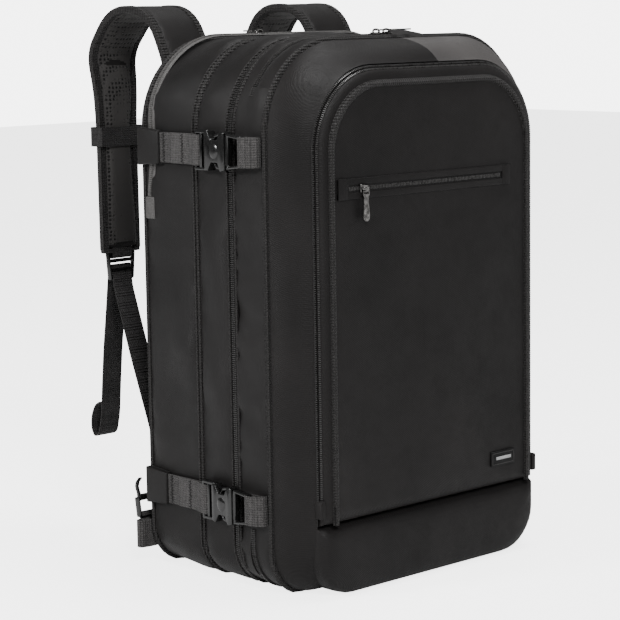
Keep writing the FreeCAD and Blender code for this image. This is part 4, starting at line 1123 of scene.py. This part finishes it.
shoulder = {
    "centre": 103, "back": 214, "width": 60, "thick": 10.4, "narrow": 0.76, "drift": 6,
    "line": [(97, 440), (97, 494), (127, 555), (190, 556.4), (224, 512), (214.6, 478), (214.2, 420),
             (213.6, 306)],
    "ease": 36, "loopMiddle": Vector((0, 156 * mm, 420 * mm)),
}
for label, side in (("left", -1), ("right", 1)):
    route = easeRun([(0, y, z) for y, z in shoulder["line"]], shoulder["ease"], 7)
    longRoute = []
    for a, b in zip(route, route[1:]):  # long straights get a point every 12 mm or so
        a, b = Vector(a), Vector(b)
        steps = max(1, int((b - a).length / 12))
        longRoute += [tuple(a.lerp(b, i / steps) + Vector((side * shoulder["centre"], 0, 0)))
                      for i in range(steps)]
    longRoute.append(tuple(Vector(route[-1]) + Vector((side * shoulder["centre"], 0, 0))))
    # past the top of the arch the strap narrows and leans outward on its way to the lock
    slim = [1 - (1 - shoulder["narrow"]) * smoothStep(556, 420, z) * (y > 180) for x, y, z in longRoute]
    longRoute = [(x + side * shoulder["drift"] * smoothStep(558, 470, z) * (y > 180), y, z)
                 for x, y, z in longRoute]
    pad = makeBand("shoulderPad_" + label, longRoute, shoulder["width"] - 5, shoulder["thick"] - 2.5,
                   taper=slim)
    plumpPad(pad, 4.6 * mm, 3.4 * mm)

    def facesWearer(centre, normal):
        inward = shoulder["loopMiddle"] - centre
        inward.x = 0
        return normal.dot(inward.normalized()) > 0.25

    finishPad(pad, "bag", ["shoulder_strap_" + label], facesWearer)
    edges = []
    for edge in (-1, 1):
        shifted = [(x + edge * (shoulder["width"] / 2 - 2.6) * share, y, z)
                   for (x, y, z), share in zip(longRoute, slim)]
        edges.append(makeBand("edge", shifted, 7.2, 7.6))
    tip = longRoute[-1]
    halfEnd = (shoulder["width"] / 2 + 1) * shoulder["narrow"]
    edges.append(mmBlock("edgeEnd", (tip[0] - halfEnd, tip[1] - 3.8, tip[2] - 3),
                         (tip[0] + halfEnd, tip[1] + 3.8, tip[2] + 1.6)))
    trim = joinPieces("shoulderBinding_" + label, edges)
    finishBand(trim, "binding", "bag", (), 1.2)
    # reinforcement that sews the strap's root to the back
    middle = side * shoulder["centre"]
    root = mmBlock("strapRoot_" + label, (middle - 34, 90.6, 432), (middle + 34, 93.6, 456), 1.2)
    finishPiece(root, "twill", "bag")
print("shoulder straps padded")

# ladder locks and what hangs from them
lockSize = {"half": 18, "top": 304, "low": 274, "thick": 5.2, "bars": (282.4, 292.4),
            "barHalf": 16, "barDeep": 2.8, "barTall": 3.6}
back = shoulder["back"]
for label, side in (("Left", -1), ("Right", 1)):
    centre = side * (shoulder["centre"] + shoulder["drift"])
    halfThick = lockSize["thick"] / 2
    plate = windowPlate("lock", ((centre - lockSize["half"]) * mm, (back - halfThick) * mm,
                                 lockSize["low"] * mm),
                        ((centre + lockSize["half"]) * mm, (back + halfThick) * mm, lockSize["top"] * mm),
                        1, 3.6 * mm, 1.1 * mm)
    openPiece(plate)
    pickVerts(lambda co: co.z < (lockSize["low"] + 3) * mm)
    bpy.ops.transform.resize(value=(0.86, 1.25, 1),
                             center_override=(centre * mm, back * mm, lockSize["low"] * mm))
    closePiece()
    frameParts = [plate]
    for level in lockSize["bars"]:
        half, deep = lockSize["barHalf"], lockSize["barDeep"]
        frameParts.append(mmBlock("lockBar", (centre - half, back - deep, level),
                                  (centre + half, back + deep, level + lockSize["barTall"]), 1.3))
    finishPiece(joinPieces("ladderLock" + label, frameParts), "plastic", "bag",
                ["ladder_locks"])
    loop = makeBand("lockLoop" + label, easeRun(
        [(centre, back + 2.4, 312), (centre, back + 4, 302), (centre, back + 2.6, 297.4),
         (centre, back - 2.4, 297.4), (centre, back - 4, 303), (centre, back - 2.4, 312)], 3), 25, 1.4)
    finishBand(loop, "webbingBlack", "bag")
    run = easeRun([(side * 150, 100.8, 116), (side * 150, 100.6, 126), (side * 146, 112, 142),
                   (side * 131, 156, 200), (side * 111, back - 6.5, 266), (centre, back - 2, 279),
                   (centre, back, 290.6), (centre, back + 4.6, 288), (centre, back + 5.4, 276)], 9)
    lower = makeBand("lowerWebbing" + label, run, 25, 1.6)
    curl = [(centre + side * lean, back + out, level) for lean, out, level in
            ((0.5, 5.4, 278), (3, 7.4, 240), (6, 9.6, 200), (8, 11.4, 160), (8.5, 13.6, 128),
             (8.5, 19, 108),
             (9, 26, 104), (9.5, 30.4, 112), (9.5, 30, 126), (9, 24, 138), (8.5, 17.4, 142))]
    tail = makeBand("strapTail" + label, easeRun(curl, 9), 25, 1.6)
    both = joinPieces("lowerWebbing" + label, [lower, tail])
    finishBand(both, "webbingBlack", "bag", ["lower_webbings"])
    foot = mmBlock("lowerAnchor" + label, (135, 90.4, 106), (165, 98.6, 134))
    openPiece(foot)
    pickVerts(lambda co: co.z < 107 * mm)
    bpy.ops.transform.translate(value=(4 * mm, 0, 0))
    pickVerts(lambda co: co.y > 97 * mm)
    bpy.ops.transform.resize(value=(0.9, 1, 0.86), center_override=(150 * mm, 98 * mm, 122 * mm))
    closePiece()
    softenEdges(foot, 1.8, 3)
    toSide(foot, side)
    finishPiece(foot, "twill", "bag")

# chest strap: a keeper round each shoulder strap and a small buckle between
chest = {"level": 425, "wrap": 30, "keeper": 9.2, "centre": 105}
bands = []
for side in (-1, 1):
    centre = side * chest["centre"]
    near, far = back - chest["keeper"], back + chest["keeper"] + 3
    wrap, level = chest["wrap"], chest["level"]
    ring = [(centre - wrap, near, level), (centre - wrap, far, level), (centre + wrap, far, level),
            (centre + wrap, near, level), (centre - 20, near, level), (centre - wrap, near + 1.4, level)]
    bands.append(makeBand("keeper", easeRun(ring, 5, 4), 20, 1.4, acrossZ=True))
for name, points, wide in (
        ("chestLong", ((-71, 1.4), (-60, 3.4), (-43, 5), (-39, 6.6), (-43, 8.2), (-56, 7.2)), 19),
        ("chestShort", ((71, 1.4), (50, 3.8), (24, 5.6), (18.4, 6.4), (17.6, 4.6), (24, 3.2), (34, 2.4)),
         18)):
    run = easeRun([(x, back + out, chest["level"]) for x, out in points], 4)
    bands.append(makeBand(name, run, wide, 1.3, acrossZ=True))
finishBand(joinPieces("chestStrap", bands), "webbingBlack", "sternum", ["sternum_strap"])
shrink = Matrix.Diagonal((1, 1, 0.66, 1))
place = placeOn((0, (back - 0.1) * mm, chest["level"] * mm), (0, 1, 0), (-1, 0, 0), (0, 0, 1))
finishPiece(copyPiece(socketHalf, "chestSocket", place @ shrink), "plastic", "sternum_buckle",
            ["sternum_female"])
finishPiece(copyPiece(prongHalf, "chestProngs", place @ shrink), "plastic", "sternum",
            ["sternum_male"])
print("chest strap ready")

# hip belt: ribbed ends folded on the lower back, with their buckle halves standing on the folds
hipBelt = {
    "level": 32, "width": 28, "thick": 2.2,
    "line": [(50, 92), (120, 92.2), (176, 92.6), (184.6, 95), (185, 100), (178, 102.6), (120, 102.4),
             (62, 100), (50, 95.4)],
    "loopLeft": [(96, 44), (103.4, 46), (107.4, 49.8), (103.2, 53), (99, 49)],
    "loopRight": [(98, 44), (105, 46), (106.4, 50.6), (102, 51.8), (98.4, 48)],
}
for label, side in (("Left", -1), ("Right", 1)):
    run = sideRun(side, hipBelt["level"], hipBelt["line"], 6)
    belt = makeBand("hipBelt" + label, run, hipBelt["width"], hipBelt["thick"], acrossZ=True)
    finishBand(belt, "webbing", "bag", ["hip_belt"])
boxLow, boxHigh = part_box("hip_buckle_male")
middle = (boxLow.x + boxHigh.x) / 2
place = placeOn((middle, boxLow.y - 1.2 * mm, boxHigh.z - 14 * mm), (0, 1, 0), (0, 0, 1), (1, 0, 0))
finishPiece(copyPiece(prongHalf, "hipProngs", place), "plastic", "bag",
            ["hip_buckle_male"])
loop = makeBand("hipLoopLeft", easeRun([(middle / mm, y, z) for y, z in hipBelt["loopLeft"]], 4), 25, 1.5)
finishBand(loop, "webbing", "bag")
boxLow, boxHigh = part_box("hip_buckle_female")
middle = (boxLow.x + boxHigh.x) / 2
place = placeOn((middle, boxLow.y, boxHigh.z), (0, 1, 0), (0, 0, -1), (-1, 0, 0))
finishPiece(copyPiece(socketHalf, "hipSocket", place), "plastic", "bag",
            ["hip_buckle_female"])
loop = makeBand("hipLoopRight", easeRun([(middle / mm, y, z) for y, z in hipBelt["loopRight"]], 4), 25, 1.5)
finishBand(loop, "webbing", "bag")
print("hip belt ready")

# back pads in spacer knit, with sewn channels across them, and the carrying handle
backPads = {
    "backPadLeft": {"low": (-107, 124), "high": (-17, 428), "channels": (196, 276, 356)},
    "backPadRight": {"low": (17, 124), "high": (107, 428), "channels": (196, 276, 356)},
    "lumbarPad": {"low": (-119, 61), "high": (119, 113), "channels": ()},
}
padHem = [(90.6, 3), (93.4, 3), (94.6, 1.8), (94.8, -0.6), (93.8, -2.4), (90.6, -2.8)]
for name, pad in backPads.items():
    block = mmBlock(name, (pad["low"][0], 91.5, pad["low"][1]), (pad["high"][0], 99.5, pad["high"][1]))
    openPiece(block)
    pickEdges(lambda a, b: abs(a.y - b.y) > 5 * mm)
    bpy.ops.mesh.bevel(offset=18 * mm, segments=5, affect="EDGES")
    closePiece()
    plumpPad(block, 5 * mm, 4.5 * mm)

    def sew(co, normal, pad=pad):
        pull = sum(math.exp(-((co.z / mm - level) / 3.6) ** 2) for level in pad["channels"])
        return Vector((0, -4.2 * mm * pull * max(0.0, normal.y), 0))

    moveVerts(block, sew)
    moveVerts(block, lambda co, normal: Vector((0, max(0.0, 90.7 * mm - co.y), 0)))
    finishPad(block, "bag", ["back_pads"], lambda centre, normal: normal.y > -0.2)
    border = dict(half=(pad["high"][0] - pad["low"][0]) / 2 * mm, low=pad["low"][1] * mm,
                  high=pad["high"][1] * mm, lowRound=18 * mm, highRound=18 * mm, step=12 * mm)
    trim = makeSkin(name + "Binding", border, padHem, filled=False, roundCuts=(5, 5))
    trim.data.transform(Matrix.Translation(((pad["low"][0] + pad["high"][0]) / 2 * mm, 0, 0)))
    thickenIn(trim, 0.9 * mm)
    finishPiece(trim, "binding", "bag", (), 60)
handleRun = easeRun([(-62, 92, 480), (-50, 92.4, 480), (-40, 99, 480), (-24, 106.6, 480), (24, 106.6, 480),
                     (40, 99, 480), (50, 92.4, 480), (62, 92, 480)], 16, 6)
grip = makeBand("carryHandle", handleRun, 24, 2.6, acrossZ=True)
finishBand(grip, "webbingBlack", "bag", ["top_handle"])
sleeveRun = easeRun([(-30, 105, 480), (-22, 107, 480), (22, 107, 480), (30, 105, 480)], 10, 5)
sleeve = makeBand("handleSleeve", sleeveRun, 25, 5.4, acrossZ=True)
finishBand(sleeve, "binding", "bag", (), 1.6)
for side in (-1, 1):
    foot = mmBlock("handleFoot" + ("Left" if side < 0 else "Right"), (side * 57 - 13, 90.4, 466),
                   (side * 57 + 13, 94.4, 494), 1.2)
    finishPiece(foot, "twill", "bag")
print("back pads and handle ready")


# zip slider: x along its travel, y across, z off the zip. Its pull hangs from the bridge
def makeSlider(name):
    body = mmBlock(name, (-5, -3.9, 0.7), (5, 3.9, 3.1))
    openPiece(body)
    pickVerts(lambda co: co.x > 4 * mm)
    bpy.ops.transform.resize(value=(1, 0.62, 1))
    closePiece()
    softenEdges(body, 0.8, 3)
    hoop = [(0, -4.2, 3), (0, -3.4, 5.6), (0, 0, 6.6), (0, 3.4, 5.6), (0, 4.2, 3)]
    bridge = makeBand("bridge", easeRun(hoop, 2.4, 4), 2.4, 1.1)
    bridge.data.transform(Matrix.Rotation(math.pi / 2, 4, "Z"))
    softenEdges(bridge, 0.35, 2, 0.9)
    return joinPieces(name, [body, bridge])


# the pull lies along +x from the bridge, flat in z, with a slot at its root and grooves along its face
def makePull(name, length):
    blade = mmBlock(name, (1.2, -4.1, -0.8), (length, 4.1, 0.8))
    openPiece(blade)
    pickEdges(lambda a, b: abs(a.z - b.z) > 1 * mm and a.x > (length - 1) * mm)
    bpy.ops.mesh.bevel(offset=3.7 * mm, segments=6, affect="EDGES")
    for x in (2.6, 6.4, 8.4, length - 5.5):
        bpy.ops.mesh.select_mode(type="VERT")
        slicePiece((x * mm, 0, 0), (1, 0, 0))
    pickVerts(lambda co: 7.5 * mm < co.x < 9 * mm)
    bpy.ops.transform.resize(value=(1, 0.66, 1))
    pickFaces(lambda centre, normal: abs(normal.z) > 0.9 and 2.6 * mm < centre.x < 6.4 * mm)
    bpy.ops.mesh.inset(thickness=1.1 * mm, depth=0)
    bpy.ops.mesh.bridge_edge_loops()
    pickFaces(lambda centre, normal: abs(normal.z) > 0.9 and 8.4 * mm < centre.x < (length - 5.5) * mm)
    bpy.ops.mesh.inset(thickness=1.3 * mm, depth=-0.35 * mm, use_individual=True)
    allOut()
    closePiece()
    softenEdges(blade, 0.3, 2, 0.6)
    return blade


sliderPattern = makeSlider("sliderPattern")
pulls = {"main": 30, "pocket": 22, "slit": 31, "laptop": 23, "expansion": 22}
# each zip's slider: its node's start, the way it travels, off the zip, and where its pull hangs
sliders = {
    "main_{}_a": ("main", (1, 0, 0), (0, 0, 1), (-0.05, -1, 0.02)),
    "main_{}_b": ("main", (-1, 0, 0), (0, 0, 1), (0.1, -1, 0.02)),
    "pocket_{}_a": ("pocket", (1, 0, 0), (0, 0, 1), (1, -0.1, 0)),
    "pocket_{}_b": ("pocket", (-1, 0, 0), (0, 0, 1), (1, -0.1, 0)),
    "slit_{}": ("slit", (1, 0, 0), (0, -1, 0), (0, 0, -1)),
    "laptop_{}": ("laptop", (1, 0, 0), (0, 0, 1), (0, 1, 0)),
    "expansion_{}": ("expansion", (0, 0, 1), (1, 0, 0), (0, 1, 0)),
}
pullPatterns = {kind: makePull("pullPattern" + kind, length) for kind, length in pulls.items()}
for pattern, (kind, run, off, hang) in sliders.items():
    node, pullNode = pattern.format("slider"), pattern.format("pull")
    boxLow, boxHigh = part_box(node)
    middle = (boxLow + boxHigh) / 2
    run, off, hang = Vector(run), Vector(off), Vector(hang).normalized()
    base = middle - off * (abs((boxHigh - boxLow).dot(off)) / 2)
    place = frameAt(base, run, off.cross(run), off)
    finishPiece(copyPiece(sliderPattern, node.replace("slider", "zipSlider"), place), "metal", node,
                [node])
    pullLow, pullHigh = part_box(pullNode)
    pullMiddle = (pullLow + pullHigh) / 2
    hook = base + off * (5.2 * mm)
    if kind == "slit":
        hook = Vector((pullMiddle.x, hook.y + 0.6 * mm, middle.z))
    flatOff = (off - hang * off.dot(hang)).normalized()
    place = frameAt(hook, hang, flatOff.cross(hang), flatOff)
    finishPiece(copyPiece(pullPatterns[kind], pullNode.replace("pull", "zipPull"), place), "metal",
                pullNode, [pullNode])
for pattern in (sliderPattern, *pullPatterns.values(), tooth, wideTooth, socketHalf, prongHalf):
    bpy.data.objects.remove(pattern)
print("sliders and pulls ready")


# finishes on the CAD pieces that stay
kept = {"back_stiffener": "board", "laptop_divider": "lining", "expansion_sleeve": "twill",
        "slit_pouch": "lining"}
for node, finish in kept.items():
    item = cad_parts[node]
    item.data.materials.clear()
    item.data.materials.append(finishes[finish])
print("kept parts finished")

# studio: pale floor, soft lights, camera
studio = {
    "azimuth": -42.7, "elevation": 8.2, "roll": -0.9, "distance": 2.123, "lens": 122.3,
    "target": (-35.4 * mm, 0.0, 253.1 * mm),
    "lights": [
        ("keyLight", (-1.3, -2.1, 2.0), 0.8, 66.0),
        ("sideLight", (-2.6, 0.7, 1.5), 0.7, 66.0),
        ("topLight", (0.3, -0.3, 2.7), 1.0, 60.0),
        ("fillLight", (2.1, -1.7, 0.8), 1.2, 7.0),
    ],
    "aim": Vector((0, 0, 0.27)), "floorSize": 14, "floorGlow": 3.4, "room": 0.17, "roomGlow": 5.5,
}
clearSelection()
bpy.ops.mesh.primitive_plane_add(size=studio["floorSize"], location=(0, 0, -0.4 * mm))
floor = bpy.context.object
floor.name = "studioFloor"
paper = bpy.data.materials.new("palePaper")
paper.use_nodes = True
shader = paper.node_tree.nodes["Principled BSDF"]
shader.inputs["Base Color"].default_value = (0.86, 0.86, 0.86, 1)
shader.inputs["Roughness"].default_value = 0.6
# the sweep is lit a little more than the bag is, as in a light tent
seen = putNode(paper.node_tree, "ShaderNodeLightPath").outputs["Is Camera Ray"]
glow = mathNode(paper.node_tree, "MULTIPLY", seen, studio["floorGlow"])
paper.node_tree.links.new(glow, shader.inputs["Emission Strength"])
shader.inputs["Emission Color"].default_value = (1, 1, 1, 1)
floor.data.materials.append(paper)

world = bpy.data.worlds.new("softRoom")
world.use_nodes = True
sky = world.node_tree.nodes["Background"]
sky.inputs["Color"].default_value = (1, 1, 1, 1)
seen = putNode(world.node_tree, "ShaderNodeLightPath").outputs["Is Camera Ray"]
lift = mathNode(world.node_tree, "MULTIPLY_ADD", seen, studio["roomGlow"], studio["room"])
world.node_tree.links.new(lift, sky.inputs["Strength"])
bpy.context.scene.world = world

for name, spot, size, power in studio["lights"]:
    lamp = bpy.data.lights.new(name, "AREA")
    lamp.shape = "DISK"
    lamp.size = size
    lamp.energy = power
    holder = bpy.data.objects.new(name, lamp)
    holder.location = spot
    holder.rotation_euler = (studio["aim"] - Vector(spot)).to_track_quat("-Z", "Y").to_euler()
    bpy.context.scene.collection.objects.link(holder)

camera = bpy.data.cameras.new("studioCamera")
camera.lens = studio["lens"]
camera.sensor_width = 36
holder = bpy.data.objects.new("studioCamera", camera)
turn, lift = math.radians(studio["azimuth"]), math.radians(studio["elevation"])
toward = Vector((math.sin(turn) * math.cos(lift), -math.cos(turn) * math.cos(lift), math.sin(lift)))
target = Vector(studio["target"])
look = (-toward).to_track_quat("-Z", "Y").to_matrix().to_4x4()
look = look @ Matrix.Rotation(math.radians(studio["roll"]), 4, "Z")
holder.matrix_world = Matrix.Translation(target + toward * studio["distance"]) @ look
bpy.context.scene.collection.objects.link(holder)
bpy.context.scene.camera = holder
print("studio lit")
